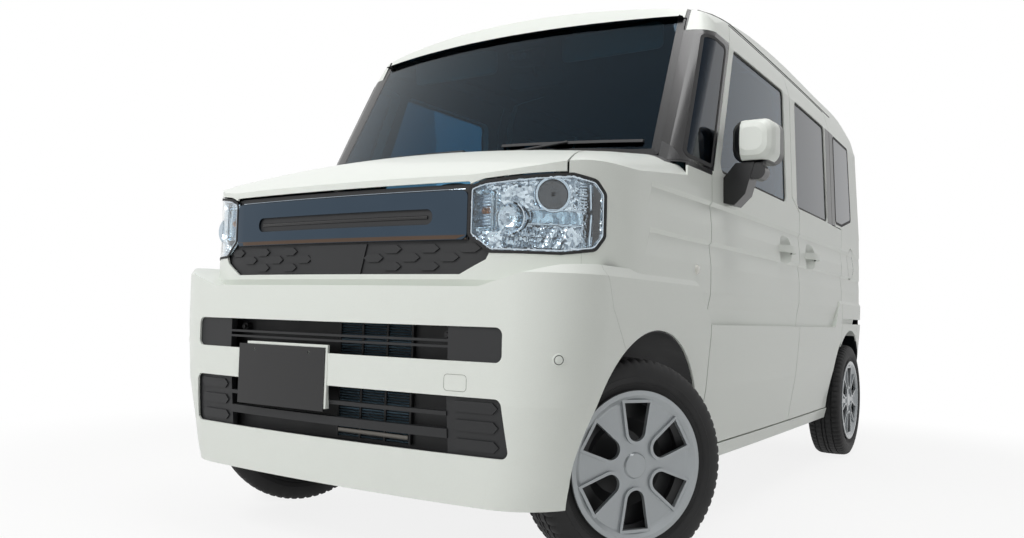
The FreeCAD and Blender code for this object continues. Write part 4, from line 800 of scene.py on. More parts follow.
class Skin:
    """Outer surface of frame nodes, met by straight lines."""

    def __init__(self, *names: str) -> None:
        """Gathers the faces of the nodes.

        Args:
            names: names of the nodes.
        """
        verts: list[Vector] = []
        faces: list[tuple[int, ...]] = []
        for name in names:
            mesh = frame["nodes"][name].data
            start = len(verts)
            verts += [v.co / MM for v in mesh.vertices]
            faces += [tuple(start + k for k in face.vertices) for face in mesh.polygons]
        self.tree = BVHTree.FromPolygons(verts, faces)

    def look(self, start: tuple, way: tuple) -> tuple[Vector, Vector] | None:
        """Returns the first point on a line and the outward normal there, or nothing where the line misses."""
        point, normal, _, _ = self.tree.ray_cast(Vector(start), Vector(way))
        return None if point is None else (point, normal if normal.dot(Vector(way)) < 0 else -normal)

    def meet(self, start: tuple, way: tuple) -> tuple[Vector, Vector]:
        """Returns what `look` finds.

        Args:
            start: where the line starts.
            way: its direction.

        Returns:
            The point met and the outward normal there.

        Raises:
            ValueError: where the line misses the surface.
        """
        found = self.look(start, way)
        if found is None:
            raise ValueError(f"no surface from {start} along {way}")
        return found

    def front(self, x: float, z: float) -> tuple[Vector, Vector]:
        """Meets the surface from ahead of the car."""
        return self.meet((x, -OUTSIDE, z), (0, 1, 0))

    def front_reach(self, x: float, z: float, step: float = 1.5) -> tuple[Vector, Vector]:
        """Meets the surface from ahead, moving towards the car's middle until there is some.

        Args:
            x: place across the car.
            z: height.
            step: distance moved at each try.

        Returns:
            The point met and the outward normal there.
        """
        while self.look((x, -OUTSIDE, z), (0, 1, 0)) is None:
            x -= math.copysign(step, x)
        return self.front(x, z)

    def left(self, y: float, z: float) -> tuple[Vector, Vector]:
        """Meets the surface from the car's left."""
        return self.meet((OUTSIDE, y, z), (-1, 0, 0))

    def left_row(self, ys: range, z: float) -> list[Vector]:
        """Returns the points met from the car's left at one height, leaving out the lines that miss."""
        found = [self.look((OUTSIDE, y, z), (-1, 0, 0)) for y in ys]
        return [hit[0] for hit in found if hit]

    def rear(self, x: float, z: float) -> tuple[Vector, Vector]:
        """Meets the surface from behind the car."""
        return self.meet((x, OUTSIDE, z), (0, -1, 0))


def borders(node: str, facing: Vector, least: float = 0.3) -> list[Loop]:
    """Finds the border loops of the part of a node's skin that faces one way.

    Args:
        node: frame node.
        facing: direction that the skin faces.
        least: smallest cosine between a face and that direction.

    Returns:
        For each loop the rows of point, direction into the surface and outward normal.
    """
    work = bmesh.new()
    work.from_mesh(frame["nodes"][node].data)
    bmesh.ops.remove_doubles(work, verts=work.verts, dist=BORDER_WELD * MM)
    facing = Vector(facing).normalized()
    chosen = {f for f in work.faces if f.normal.dot(facing) > least}
    rim: dict = {}
    for edge in work.edges:
        inside = [f for f in edge.link_faces if f in chosen]
        if len(inside) == 1:
            for vert in edge.verts:
                rim.setdefault(vert, []).append((edge, inside[0]))
    loops = []
    left = set(rim)
    while left:
        here = min(left, key=lambda v: v.index)
        chain, came = [], None
        while here in left:
            left.discard(here)
            chain.append(here)
            steps = [e for e, _ in rim[here] if e is not came and e.other_vert(here) in left]
            if not steps:
                break
            came = steps[0]
            here = came.other_vert(here)
        if len(chain) >= SHORTEST_LOOP:
            loops.append([_border_row(vert, rim[vert]) for vert in chain])
    work.free()
    return loops


def _border_row(vert: bmesh.types.BMVert, around: list) -> tuple[Vector, Vector, Vector]:
    """Returns a border vertex's place, its direction into the surface and the normal there.

    Args:
        vert: the vertex.
        around: the border edges that meet there, each with its face.

    Returns:
        The three, the place in millimetres.
    """
    inward, normal = Vector(), Vector()
    for edge, face in around:
        along = (edge.verts[1].co - edge.verts[0].co).normalized()
        across = face.normal.cross(along)
        middle = (edge.verts[0].co + edge.verts[1].co) / 2
        inward += across if across.dot(face.calc_center_median() - middle) > 0 else -across
        normal += face.normal
    return vert.co / MM, inward.normalized(), normal.normalized()


def band(piece: Piece, loops: list[Loop], near: float, far: float, proud: float, sunk: float = 0.4) -> Piece:
    """Lays a band along border loops, between two distances from the border.

    Args:
        piece: piece that takes the band.
        loops: rows from `borders`.
        near: distance of its outer edge from the border.
        far: distance of its inner edge.
        proud: height above the surface.
        sunk: depth below it.

    Returns:
        The piece that took it.
    """
    for loop in loops:
        rings = []
        for point, inward, normal in loop:
            a, b = point + inward * near, point + inward * far
            rings.append([a + normal * proud, b + normal * proud, b - normal * sunk, a - normal * sunk])
        piece.loft(rings, closed=True)
    return piece
# ---------------------------------------------------------------- sub-assemblies
AHEAD, ASTERN = Vector((0, -1, 0)), Vector((0, 1, 0))


@dataclass
class Glazing:
    """Gaskets and printed borders round the panes."""

    gasket: float = 9.0
    overlap: float = -3.0
    print_width: float = 24.0

    def build(self) -> None:
        """Frames every pane."""
        for side in Side:
            facing = Vector((side.value, 0, 0))
            for name, node, body in (("side_gaskets", "side_glasses", "body"),
                                     ("door_glass_gasket", f"front_door_glass_{side.tag}", f"{side.tag}_door")):
                rubber = Piece(f"{name}_{side.tag}", RUBBER, body)
                band(rubber, borders(node, facing), self.overlap, self.gasket, 0.9).done()
        # name, node, body, direction that the pane faces, height of the print
        for name, node, body, facing, proud in (
                ("windscreen_print", "windscreen", "body", Vector((0, -1, 0.4)), 0.3),
                ("gate_glass_print", "tailgate_glass", "rear_gate", ASTERN, 0.4)):
            band(Piece(name, CERAMIC_PRINT, body), borders(node, facing), 0.0, self.print_width, proud).done()


@dataclass
class Headlamp:
    """Everything between the lens and its tray, drawn for the left lamp and mirrored.

    Pairs are x and z of a part's middle, and rows of three are a first value, a pitch and a count.
    """

    signal: Flat = (449.0, 902.0)
    bowl: Flat = (515.0, 884.0)
    dome: Flat = (600.0, 944.0)
    beam_x: tuple[float, float, int] = (552.0, 9.0, 12)
    beam_z: float = 889.0
    fan_z: Flat = (815.0, 864.0)
    fan_x: tuple[float, float, int] = (492.0, 11.0, 13)
    louvre_z: tuple[float, float, int] = (916.0, 7.5, 8)
    flute: tuple[float, float, int] = (-38.0, 7.6, 11)
    louvre_x: tuple[float, ...] = (645, 651, 657)
    upright: tuple[float, float, float] = (664.0, 900.0, 0.03)
    flank_x: tuple[float, float, int] = (666.0, 3.2, 5)
    side_z: tuple[float, float, int] = (824.0, 15.0, 11)
    skin: Skin = field(default_factory=lambda: Skin("headlamp_lenses"))

    def behind(self, x: float, z: float, depth: float) -> Vector:
        """Returns the point at a depth behind the lens."""
        point, normal = self.skin.front_reach(x, z)
        return point - normal * depth

    def rims(self) -> None:
        """Dark gasket round the lens and the bright line inside it."""
        loops = []
        for side in Side:
            found = borders("headlamp_lenses", Vector((side.value * 0.5, -0.85, 0.1)), 0.2)
            loops += [loop for loop in found if sum(p.x for p, _, _ in loop) * side.value > 0]
        band(Piece("lamp_gasket", RUBBER), loops, -1.0, 6.0, 1.2).done()
        band(Piece("lamp_bright_line", BRIGHT_CHROME), loops, 8.0, 10.5, 0.2, 7.0).done()

    def turn_signal(self) -> None:
        """Upright box with a thick clear frame, fluted reflector and amber bulb."""
        x, z = self.signal
        y = self.behind(x, z, 8.0).y
        outer, inner = rounded_outline((x, z), (30, 50), 11), rounded_outline((x, z), (21, 41), 6)
        Piece("signal_frame", LAMP_ACRYLIC).frame_ring(outer, inner, Axis.Y, y, y + 15).pair(1.6)
        flutes = Piece("signal_reflector", BRIGHT_CHROME)
        for rise in series(self.flute):
            outline = [(y + back, z + rise + up) for back, up in ((14, -3.7), (9, 0), (14, 3.7), (17, 0))]
            flutes.prism(outline, Axis.X, x - 21, x + 21)
        flutes.pair(0.4)
        bulb = [(0.0, 0.5), (1.0, 5.0), (6.0, 8.5), (13.0, 9.0), (16.0, 6.0), (16.0, 0.5)]
        Piece("signal_bulb", AMBER).spin(bulb, Vector((x, y - 0.5, z)), ASTERN, 20).pair()

    def reflector(self) -> None:
        """Faceted bowl with its bulb, beside the signal."""
        mouth = self.behind(*self.bowl, 9.0)
        bowl = [(0, 37), (4, 34), (9, 28), (13, 20), (16, 11), (16, 8), (18, 8), (18, 40), (0, 40)]
        Piece("lamp_bowl", BRIGHT_CHROME).spin(bowl, mouth, ASTERN, 18).pair(sharp=8)
        bulb = [(-1, 0.5), (0, 4), (4, 7), (14, 7), (14, 0.5)]
        Piece("lamp_bulb", LAMP_ACRYLIC).spin(bulb, mouth, ASTERN, 20).pair()

    def projector(self) -> None:
        """Dark glass dome in a stepped bright ring."""
        middle, normal = self.behind(*self.dome, 14.0), self.skin.front(*self.dome)[1]
        dome = [(7.5 * c, 37 * s) for c, s in arc(9, 8, 90)] + [(-6, 37), (-6, 1)]
        Piece("projector_lens", PROJECTOR_GLASS).spin(dome, middle, normal, 40).pair()
        steps = [(-8, 37.5), (3, 37.5), (3, 40), (5.5, 40), (5.5, 43), (2, 45), (-8, 45)]
        Piece("projector_ring", BRIGHT_CHROME).spin(steps, middle, normal, 40).pair()

    def beam(self) -> None:
        """Horizontal light bar under the projector, with an eye at its inner end."""
        xs = series(self.beam_x)
        path = [self.behind(x, self.beam_z, 13.0) for x in xs]
        Piece("lamp_beam", LAMP_ACRYLIC).tube(path, 10, 30).pair()
        edge = Piece("lamp_beam_edges", BRIGHT_CHROME)
        for offset in (-18.0, 18.0):
            edge.tube([self.behind(x, self.beam_z + offset, 12.0) for x in xs], 7, 4)
        edge.spin([(-4, 6), (3, 8), (3, 13), (-4, 13)], path[0], AHEAD, 28).pair()

    def fan(self) -> None:
        """Lower reflector: upright facets that turn the light in steps, in two rows."""
        low, high = self.fan_z
        middle = (low + high) / 2
        fan = Piece("lamp_fan", LAMP_TRAY)
        for row, (z0, z1) in enumerate(((low, middle - 1), (middle + 1, high))):
            places = [(x, 9.0 if (k + row) % 2 else 20.0) for k, x in enumerate(series(self.fan_x))]
            fan.sheet([[self.behind(x + 4, z1, depth) for x, depth in places],
                       [self.behind(x, z0, depth + 2) for x, depth in places]])
        fan.pair(sharp=5)

    def side_parts(self) -> None:
        """Louvres, the bright upright and the dark smooth flank round the corner."""
        teeth = Piece("lamp_louvres", BRIGHT_CHROME)
        for z in series(self.louvre_z):
            teeth.tube([self.behind(x, z, 11.0) for x in self.louvre_x], 6, 4, sides=8)
        teeth.pair()
        heights = series(self.side_z)
        widest_x, widest_z, taper = self.upright
        upright = [self.behind(widest_x - abs(z - widest_z) * taper, z, 9.0) for z in heights]
        Piece("lamp_upright", BRIGHT_CHROME).tube(upright, 5, 5).pair()
        flank = [[self.behind(x, z, 8.0) for x in series(self.flank_x)] for z in heights]
        Piece("lamp_flank", GLOSS_BLACK).sheet(flank).pair()

    def build(self) -> None:
        """Fills both lamps."""
        for step in (self.rims, self.turn_signal, self.reflector, self.projector, self.beam, self.fan, self.side_parts):
            step()


@dataclass
class Grille:
    """Bright bar's small parts and the strip above it."""

    bar_half: float = 408.0
    bevel_z: Flat = (833.0, 843.0)
    line_half: float = 400.0
    line_z: float = 956.0
    slot_half: float = 296.0
    slot_z: float = 889.0
    skin: Skin = field(default_factory=lambda: Skin("grille_bar", "grille_mesh"))

    def along(self, z: float, half: float, proud: float, count: int = 33) -> list[Vector]:
        """Returns points across the car on the grille's face."""
        xs = [half * (2 * k / (count - 1) - 1) for k in range(count)]
        return [self.skin.front(x, z)[0] + AHEAD * proud for x in xs]

    def build(self) -> None:
        """Adds the bevel, the bright line and the rib in the slot."""
        low, high = self.bevel_z
        # the bevel along the bar's underside is plated in painted shade
        bevel = [self.along(low, self.bar_half, 0.2), self.along(high, self.bar_half, 0.9)]
        Piece("bar_bevel", BAR_UNDERSIDE_PAINTED_SHADE).sheet(bevel).done()
        line = self.along(self.line_z, self.line_half, 0.0)
        Piece("grille_bright_line", BRIGHT_CHROME).tube(line, 2.5, 2.5).done()
        Piece("slot_rib", GLOSS_BLACK).tube(self.along(self.slot_z, self.slot_half, 0.5), 7, 9).done()


@dataclass
class BumperFront:
    """Cooler, fixings, parking sensors and the tow-eye cover of the front bumper."""

    core_x: Flat = (4.0, 250.0)
    dividers: tuple[float, ...] = (84.0, 168.0)
    mouths: tuple[Flat, ...] = ((538.0, 626.0), (324.0, 458.0))
    core_y: float = -1634.0
    fin_pitch: float = 7.0
    strip_z: float = 340.0
    bolt: Flat = (364.0, 600.0)
    sensor: Flat = (655.0, 553.0)
    tow_middle: Flat = (413.5, 489.5)
    tow_half: Flat = (31.0, 19.5)
    skin: Skin = field(default_factory=lambda: Skin("front_bumper"))

    def cooler(self) -> None:
        """Tubes and fins that show through the mouths, in three columns."""
        x0, x1 = self.core_x
        fins = Piece("cooler_fins", COOLER_ALLOY)
        posts = Piece("cooler_posts", BLACK_GRAIN)
        for low, high in self.mouths:
            for k in range(int((high - low) / self.fin_pitch)):
                z = low + (k + 0.5) * self.fin_pitch
                fin = [(self.core_y + back, z + up) for back, up in ((0, -2.2), (-2, 0), (0, 2.2), (3, 0))]
                fins.prism(fin, Axis.X, x0, x1)
            for x in (x0, *self.dividers, x1):
                posts.prism(rounded_outline((x, self.core_y), (3.5, 5), 1.5, 3), Axis.Z, low, high)
        fins.done()
        posts.done()
        strip = rounded_outline((self.core_y - 4, self.strip_z), (2, 6), 1.5, 3)
        Piece("cooler_bright_strip", RAW_STEEL).prism(strip, Axis.X, x0 + 6, x1 - 4).done()

    def bolts(self) -> None:
        """Flanged bolts at the ends of the upper bars."""
        # washer, six-sided head and sleeve, each with its number of sides
        shapes = (([(0, 0.5), (0, 11), (3, 11), (3, 0.5)], 24), ([(3, 0.5), (3, 7), (9, 6.4), (9, 0.5)], 6),
                  ([(0, 0.5), (0, 9), (-14, 12), (-14, 0.5)], 12))
        for side in Side:
            head = Piece(f"bolt_{side.tag}", STEEL_BLACK)
            for profile, sides in shapes:
                head.spin(profile, Vector((side.value * self.bolt[0], self.core_y - 8, self.bolt[1])), AHEAD, sides)
            head.done(0.4)

    def sensors(self) -> None:
        """Round parking sensors: painted face, dark gap and painted rim."""
        point, normal = self.skin.front(*self.sensor)
        for name, finish, profile in (
                ("faces", PAINT, [(-2, 0.5), (-2, 9.6), (0.6, 9.6), (1.2, 8.6), (1.2, 0.5)]),
                ("gaps", RUBBER, [(-2, 9.8), (-2, 11.4), (0.5, 11.4), (0.5, 9.8)]),
                ("rims", PAINT, [(-2, 11.6), (-2, 15.2), (0.3, 15.2), (1.5, 14.2), (1.5, 11.6)])):
            Piece(f"sensor_{name}", finish).spin(profile, point, normal).pair()

    def tow_cover(self) -> None:
        """Thin seam of the push-in cover over the tow eye."""
        path = [self.skin.front(x, z)[0] for x, z in rounded_outline(self.tow_middle, self.tow_half, 9, 5)]
        Piece("tow_cover_seam", SEAM_SHADE).tube(path, 1.3, 1.3, closed=True, sides=6).done()

    def build(self) -> None:
        """Adds them all."""
        for step in (self.cooler, self.bolts, self.sensors, self.tow_cover):
            step()


@dataclass
class BodySides:
    """Small parts along the flanks."""

    marker: Flat = (-920.0, 801.0)
    drip_y: range = range(-760, 1040, 60)
    drip_z: float = 1660.0
    skin: Skin = field(
        default_factory=lambda: Skin("body_side_left", "front_fenders", "front_door_left", "sliding_doors"))

    def build(self) -> None:
        """Adds the round side indicators and the dark gutter lines above the doors, on both sides."""
        point, normal = self.skin.left(*self.marker)
        lens = [(-3, 0.5), (-3, 15), (1, 15), (4, 13), (6.5, 8), (7.3, 0.5)]
        Piece("side_markers", FROSTED).spin(lens, point, normal, 36).pair()
        bulb = [(-2, 0.5), (-2, 13.5), (0.3, 13.5), (0.8, 5), (3.5, 3.5), (3.5, 0.5)]
        Piece("side_marker_bulbs", BRIGHT_CHROME).spin(bulb, point, normal, 24).pair()
        Piece("door_gutters", RUBBER).tube(self.skin.left_row(self.drip_y, self.drip_z), 3.5, 6).pair()


@dataclass
class Mirror:
    """Reflecting glass of a door mirror, in its dark inner frame."""

    side: Side
    outboard: float = 0.60
    below_top: float = 66.0

    def build(self) -> None:
        """Sets the glass on the housing's rear face."""
        low, high = (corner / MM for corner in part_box(f"door_mirror_{self.side.tag}"))
        inner, outer = sorted((abs(low.x), abs(high.x)))
        middle = (self.side.value * ((1 - self.outboard) * inner + self.outboard * outer), high.z - self.below_top)
        body = f"{self.side.tag}_door"
        glass = Piece(f"mirror_glass_{self.side.tag}", MIRROR_SILVER, body)
        glass.prism(rounded_outline(middle, (49, 52), 20), Axis.Y, high.y - 1, high.y + 1.0).done(0.5)
        outside, inside = rounded_outline(middle, (55, 58), 24), rounded_outline(middle, (49.5, 52.5), 20.5)
        rim = Piece(f"mirror_rim_{self.side.tag}", BLACK_GRAIN, body)
        rim.frame_ring(outside, inside, Axis.Y, high.y - 4, high.y + 3).done(0.8)


@dataclass
class Tyre:
    """Road tyre for its plain frame node: each of its blocks has `stations` sections, the last of which is cut."""

    end: str
    side: Side
    pitches: int = 68
    stations: int = 4
    sweep: float = 0.012
    radius: float = 275.0
    width: float = 155.0
    bead: float = 187.0

    def section(self) -> list[tuple[float, float, float]]:
        """Returns the whole section as rows of place across, radius and depth of the cross cuts there.

        Returns:
            The rows, from one bead to the other.
        """
        edge, r0, r1 = self.width / 2, self.bead, self.radius
        # wall: distance in from the edge, height above the bead
        wall = ((14, 0), (12, 17), (8, 22), (8.5, 24), (6, 26), (2, 32), (1.6, 40), (0.9, 40.8), (0.9, 42.2), (1.6, 43),
                (1.0, 49))
        # tread: distance in from the edge, depth below the crown, depth of the cuts
        tread = (
            (2.2, 28, 0), (5, 19, 1.5), (10, 9, 4), (17, 4.5, 5), (24, 2.2, 5), (36, 1.0, 4), (36.6, 7.5, 0),
            (42.4, 7.5, 0), (43, 0.7, 1.5), (60, 0.3, 3), (66, 0.1, 3), (66.6, 7.5, 0), (72.4, 7.5, 0), (73, 0, 1.5))
        half = [(edge - x, r0 + up, 0) for x, up in wall] + [(edge - x, r1 - down, cut) for x, down, cut in tread]
        return half + [(-x, r, cut) for x, r, cut in reversed(half)]

    def build(self) -> None:
        """Turns the section about the wheel's own axis, cutting the cross grooves."""
        node, body = f"tyre_{self.end}_{self.side.tag}", f"{self.end}_wheel_{self.side.tag}"
        low, high = (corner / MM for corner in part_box(node))
        middle, way, up = (low + high) / 2, WHEEL_WAYS[body], Vector((0, 0, 1))
        ahead = way.cross(up)
        section = self.section()
        count = self.pitches * self.stations
        rings = []
        for k in range(count):
            deep = k % self.stations == self.stations - 1
            ring = []
            for x, r, cut in section:
                angle = math.tau * k / count + self.sweep * abs(x) / self.width
                out = up * math.cos(angle) + ahead * math.sin(angle)
                ring.append(middle + way * x + out * (r - cut if deep else r))
            rings.append(ring)
        made = Piece(f"{node}_moulded", RUBBER, body, "tyre_rubber").loft(rings, closed=True).done(sharp=40)
        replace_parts(made, node)


@dataclass
class SeatRow:
    """Padded cushions, backs and head rests of one row, standing for the plain seats.

    Each cover starts smaller by `inset` as room for its filling. `seam` is both the width and the depth of a channel.
    """

    node: str
    near: float
    far: float
    front_y: float
    base_z: float
    top_z: float = 1130.0
    inset: float = 3.0
    cuts: int = 11
    crown: float = 0.10
    squareness: int = 8
    voxel: float = 13.0
    pressure: float = 4.0
    frames: int = 12
    seam: float = 9.0
    fill: float = 0.75
    post_half: float = 55.0
    post_width: float = 12.0
    stand: Flat = (50.0, 190.0)
    floor_z: float = 304.0

    def cover(self, name: str, low: Vector, high: Vector) -> Object:
        """Cuts the closed cover of one pad: a block with crowned faces and rounded edges.

        Args:
            name: name of the pad.
            low: lowest corner of the block.
            high: highest corner.

        Returns:
            The object, not yet filled.
        """
        centre, size = (low + high) / 2, (high - low) / 2
        work = bmesh.new()
        bmesh.ops.create_cube(work, size=2.0)
        bmesh.ops.subdivide_edges(work, edges=work.edges, cuts=self.cuts, use_grid_fill=True)
        for vert in work.verts:
            u = vert.co.copy()
            falls = [self.crown * (u[(k + 1) % 3] ** 2 + u[(k + 2) % 3] ** 2) for k in range(3)]
            crowned = Vector([u[k] * (1 - falls[k]) for k in range(3)])
            power = sum(abs(c) ** self.squareness for c in u) ** (1 / self.squareness)
            if power > 1:
                crowned *= 1 / power
            vert.co = Vector([centre[k] + crowned[k] * (size[k] - self.inset) for k in range(3)]) * MM
        mesh = bpy.data.meshes.new(name)
        work.to_mesh(mesh)
        work.free()
        return to_scene(name, mesh, FABRIC)

    def inflate(self, made: Object) -> None:
        """Fills the cover under pressure for a fixed number of frames and keeps the result.

        Args:
            made: the cover.
        """
        remesh = made.modifiers.new("even", "REMESH")
        remesh.mode = "VOXEL"
        remesh.voxel_size = self.voxel * MM
        cloth = made.modifiers.new("fill", "CLOTH")
        cloth.settings.use_pressure = True
        cloth.settings.uniform_pressure_force = self.pressure
        cloth.settings.effector_weights.gravity = 0.0
        cloth.point_cache.frame_end = self.frames
        scene = bpy.context.scene
        for step in range(1, self.frames + 1):
            scene.frame_set(step)
        shaped = bpy.data.meshes.new_from_object(made.evaluated_get(bpy.context.evaluated_depsgraph_get()))
        made.modifiers.clear()
        made.data = shaped
        scene.frame_set(1)
        LOG.info("%s filled, %d points", made.name, len(shaped.vertices))

    def sew(self, made: Object, low: Vector, high: Vector, lean: float, seams: tuple[float, ...]) -> None:
        """Draws the sewn channels in and leans the pad back.

        Args:
            made: the filled pad.
            low: lowest corner of the block that it was cut from.
            high: highest corner.
            lean: distance that its top leans back.
            seams: shares of the width where channels are sewn.
        """
        size, middle = high - low, (low + high) / 2
        axis = 2 if size.z < size.y else 1
        for vert in made.data.vertices:
            place = vert.co / MM
            share = (place.x - low.x) / size.x
            pull = max((math.exp(-((share - s) * size.x / self.seam) ** 2) for s in seams), default=0.0)
            place[axis] -= (1 if place[axis] > middle[axis] else -1) * self.seam * pull
            place.y += lean * (place.z - low.z) / size.z
            vert.co = place * MM
        made.data.update()

    def pad(self, name: str, low: Vector, high: Vector, lean: float, seams: tuple[float, ...]) -> None:
        """Cuts, fills and sews one pad.

        Args:
            name: piece name.
            low: lowest corner of the upright block that it is cut from.
            high: highest corner.
            lean: distance that its top leans back.
            seams: shares of the width where channels are sewn.
        """
        made = self.cover(name, low, high)
        self.inflate(made)
        self.sew(made, low, high, lean, seams)
        smooth(made.data)
        finer = made.modifiers.new("smooth", "SUBSURF")
        finer.levels = finer.render_levels = 1
        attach(made, "body")

    def build(self) -> None:
        """Makes both places of the row."""
        y, z, top = self.front_y, self.base_z, self.top_z
        # part, inset of its sides, front, rear, bottom, top, lean, seams
        parts = (("cushion", 0, y, y + 470, z, z + 135, 0.0, (0.24, 0.76)),
                 ("back", 10, y + 425, y + 530, z + 95, top, 110.0, (0.26, 0.74)),
                 ("head", 110, y + 585, y + 665, top + 12, top + 185, 15.0, ()))
        base = Piece(f"{self.node}_stands", BLACK_GRAIN)
        for side in Side:
            x0, x1 = sorted((side.value * self.near, side.value * self.far))
            middle = (x0 + x1) / 2
            tag = f"{self.node}_{side.tag}"
            for part, inset, front, rear, low, high, lean, seams in parts:
                corners = Vector((x0 + inset, front, low)), Vector((x1 - inset, rear, high))
                self.pad(f"{tag}_{part}", *corners, lean, seams)
            posts = Piece(f"{tag}_posts", BRIGHT_CHROME, slot="raw_steel")
            for x in (middle - self.post_half, middle + self.post_half):
                path = [Vector((x, y + 615, top - 30)), Vector((x, y + 622, top + 40))]
                posts.tube(path, self.post_width, self.post_width)
            posts.done()
            half = (x1 - x0) / 2 - self.stand[0], self.stand[1]
            base.prism(rounded_outline((middle, y + 250), half, 30), Axis.Z, self.floor_z, z + 12)
        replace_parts(base.done(3.0), self.node)


@dataclass
class Cabin:
    """What shows through the glass above the dashboard."""

    visor: Flat = (330.0, 1592.0)
    meter: Flat = (-345.0, 1092.0)
    vents_x: tuple[float, ...] = (-560, -150, 190, 560)
    vent_z: tuple[float, float, int] = (1020.0, 13.0, 5)

    def above(self) -> None:
        """Adds the camera housing, the mirror and the visors."""
        # share of the width, y, height of the lower edge and of the upper edge
        rows = ((0.8, -795, 1585, 1560), (1.0, -760, 1606, 1548), (0.9, -690, 1625, 1560))
        rings = [[Vector((x * s, y, z)) for x, z in ((-60, z0), (60, z0), (48, z1), (-48, z1))]
                 for s, y, z0, z1 in rows]
        Piece("camera_housing", BLACK_GRAIN).loft(rings).done(4.0)
        eyes = Piece("camera_eyes", PROJECTOR_GLASS)
        for x in (-26, 26):
            eyes.spin([(0, 0.5), (0, 12), (-4, 10), (-5, 0.5)], Vector((x, -793, 1571)), ASTERN, 24)
        eyes.done()
        mirror = Piece("cabin_mirror", BLACK_GRAIN)
        mirror.prism(rounded_outline((0, 1520), (115, 30), 26), Axis.Y, -668, -640)
        mirror.tube([Vector((0, -668, 1530)), Vector((0, -700, 1575))], 14, 14).done(4.0)
        for side in Side:
            outline = rounded_outline((side.value * self.visor[0], self.visor[1]), (190, 45), 22)
            Piece(f"sun_visor_{side.tag}", HEADLINING).prism(outline, Axis.Y, -725, -712).done(4.0)

    def dashboard(self) -> None:
        """Adds the dashboard's screen, vents and meter hood."""
        screen = rounded_outline((20, 1040), (122, 62), 10)
        Piece("dash_screen", GLOSS_BLACK).prism(screen, Axis.Y, -590, -576).done(2.0)
        vents = Piece("dash_vents", BLACK_GRAIN)
        for x in self.vents_x:
            for z in series(self.vent_z):
                vents.prism(rounded_outline((x, z), (42, 3), 2, 3), Axis.Y, -592, -578)
        vents.done(0.5)
        x, z = self.meter
        outer, inner = ([(x + wide * c, z + tall * s) for c, s in arc(13, 0, 195)]
                        for wide, tall in ((140, 62), (132, 54)))
        Piece("meter_hood", BLACK_GRAIN).prism(outer + inner[::-1], Axis.Y, -700, -570).done(2.0)

    def build(self) -> None:
        """Adds them all."""
        self.above()
        self.dashboard()


@dataclass
class Tail:
    """Lamps and small parts of the rear."""

    reflector_x: range = range(470, 571, 10)
    reflector_z: float = 420.0

    def build(self) -> None:
        """Adds the bumper reflectors, the high stop lamp and the plain plate of the tailgate."""
        skin, gate = Skin("rear_bumper"), Skin("tailgate")
        path = [skin.rear(x, self.reflector_z)[0] for x in self.reflector_x]
        Piece("rear_reflectors", RED_ACRYLIC).tube(path, 5, 26).pair()
        # name, finish, height, half size, how far it starts and ends behind the skin, edge
        for name, finish, z, half, start, end, edge in (
                ("high_stop_lamp", RED_ACRYLIC, 1610, (110, 9), -3, 3.5, 1.0),
                ("rear_plate", GLOSS_BLACK, 800, (165, 82.5), 1, 3, 0.5)):
            y = gate.rear(0, z)[0].y
            outline = rounded_outline((0, z), half, 8)
            Piece(name, finish, "rear_gate").prism(outline, Axis.Y, y + start, y + end).done(edge)


# ---------------------------------------------------------------- studio
@dataclass(frozen=True)
class StudioFloor(Finish):
    """Pale floor that keeps the car's shadow and fades to plain white, from `near` to `far` metres out."""

    near: float = 2.0
    far: float = 3.4
    glow: float = 0.85

    def dress(self, tree: NodeTree, shader: Node, output: Node) -> None:
        """Fades the painted floor into an even white with distance from the middle.

        Args:
            tree: the material's node tree.
            shader: its principled shader.
            output: its material output.
        """
        share = add_node(tree, "MapRange", {
            "Value": vector_maths(tree, "LENGTH", here(tree), result="Value"), "From Min": self.near,
            "From Max": self.far, "To Min": self.glow}, interpolation_type="SMOOTHSTEP")
        shown = maths(tree, "MULTIPLY", share.outputs["Result"], seen_plainly(tree))
        white = add_node(tree, "Emission", {"Color": (1, 1, 1, 1), "Strength": 1.0})
        mix = add_node(tree, "MixShader", {0: shown, 1: shader.outputs[0], 2: white.outputs[0]})
        feed(tree, output.inputs["Surface"], mix.outputs[0])


@dataclass(frozen=True)
class Softbox:
    """Square area lamp turned to the car's middle, its size in metres and its power in watts."""

    name: str
    at: tuple[float, float, float]
    size: float
    power: float
    target: tuple[float, float, float] = (0, 0, 0.8)

    def hang(self) -> None:
        """Puts the lamp in the scene."""
        data = bpy.data.lights.new(self.name, "AREA")
        data.size, data.energy = self.size, self.power
        made = to_scene(self.name, data)
        made.location = self.at
        made.rotation_euler = (Vector(self.target) - Vector(self.at)).to_track_quat("-Z", "Y").to_euler()


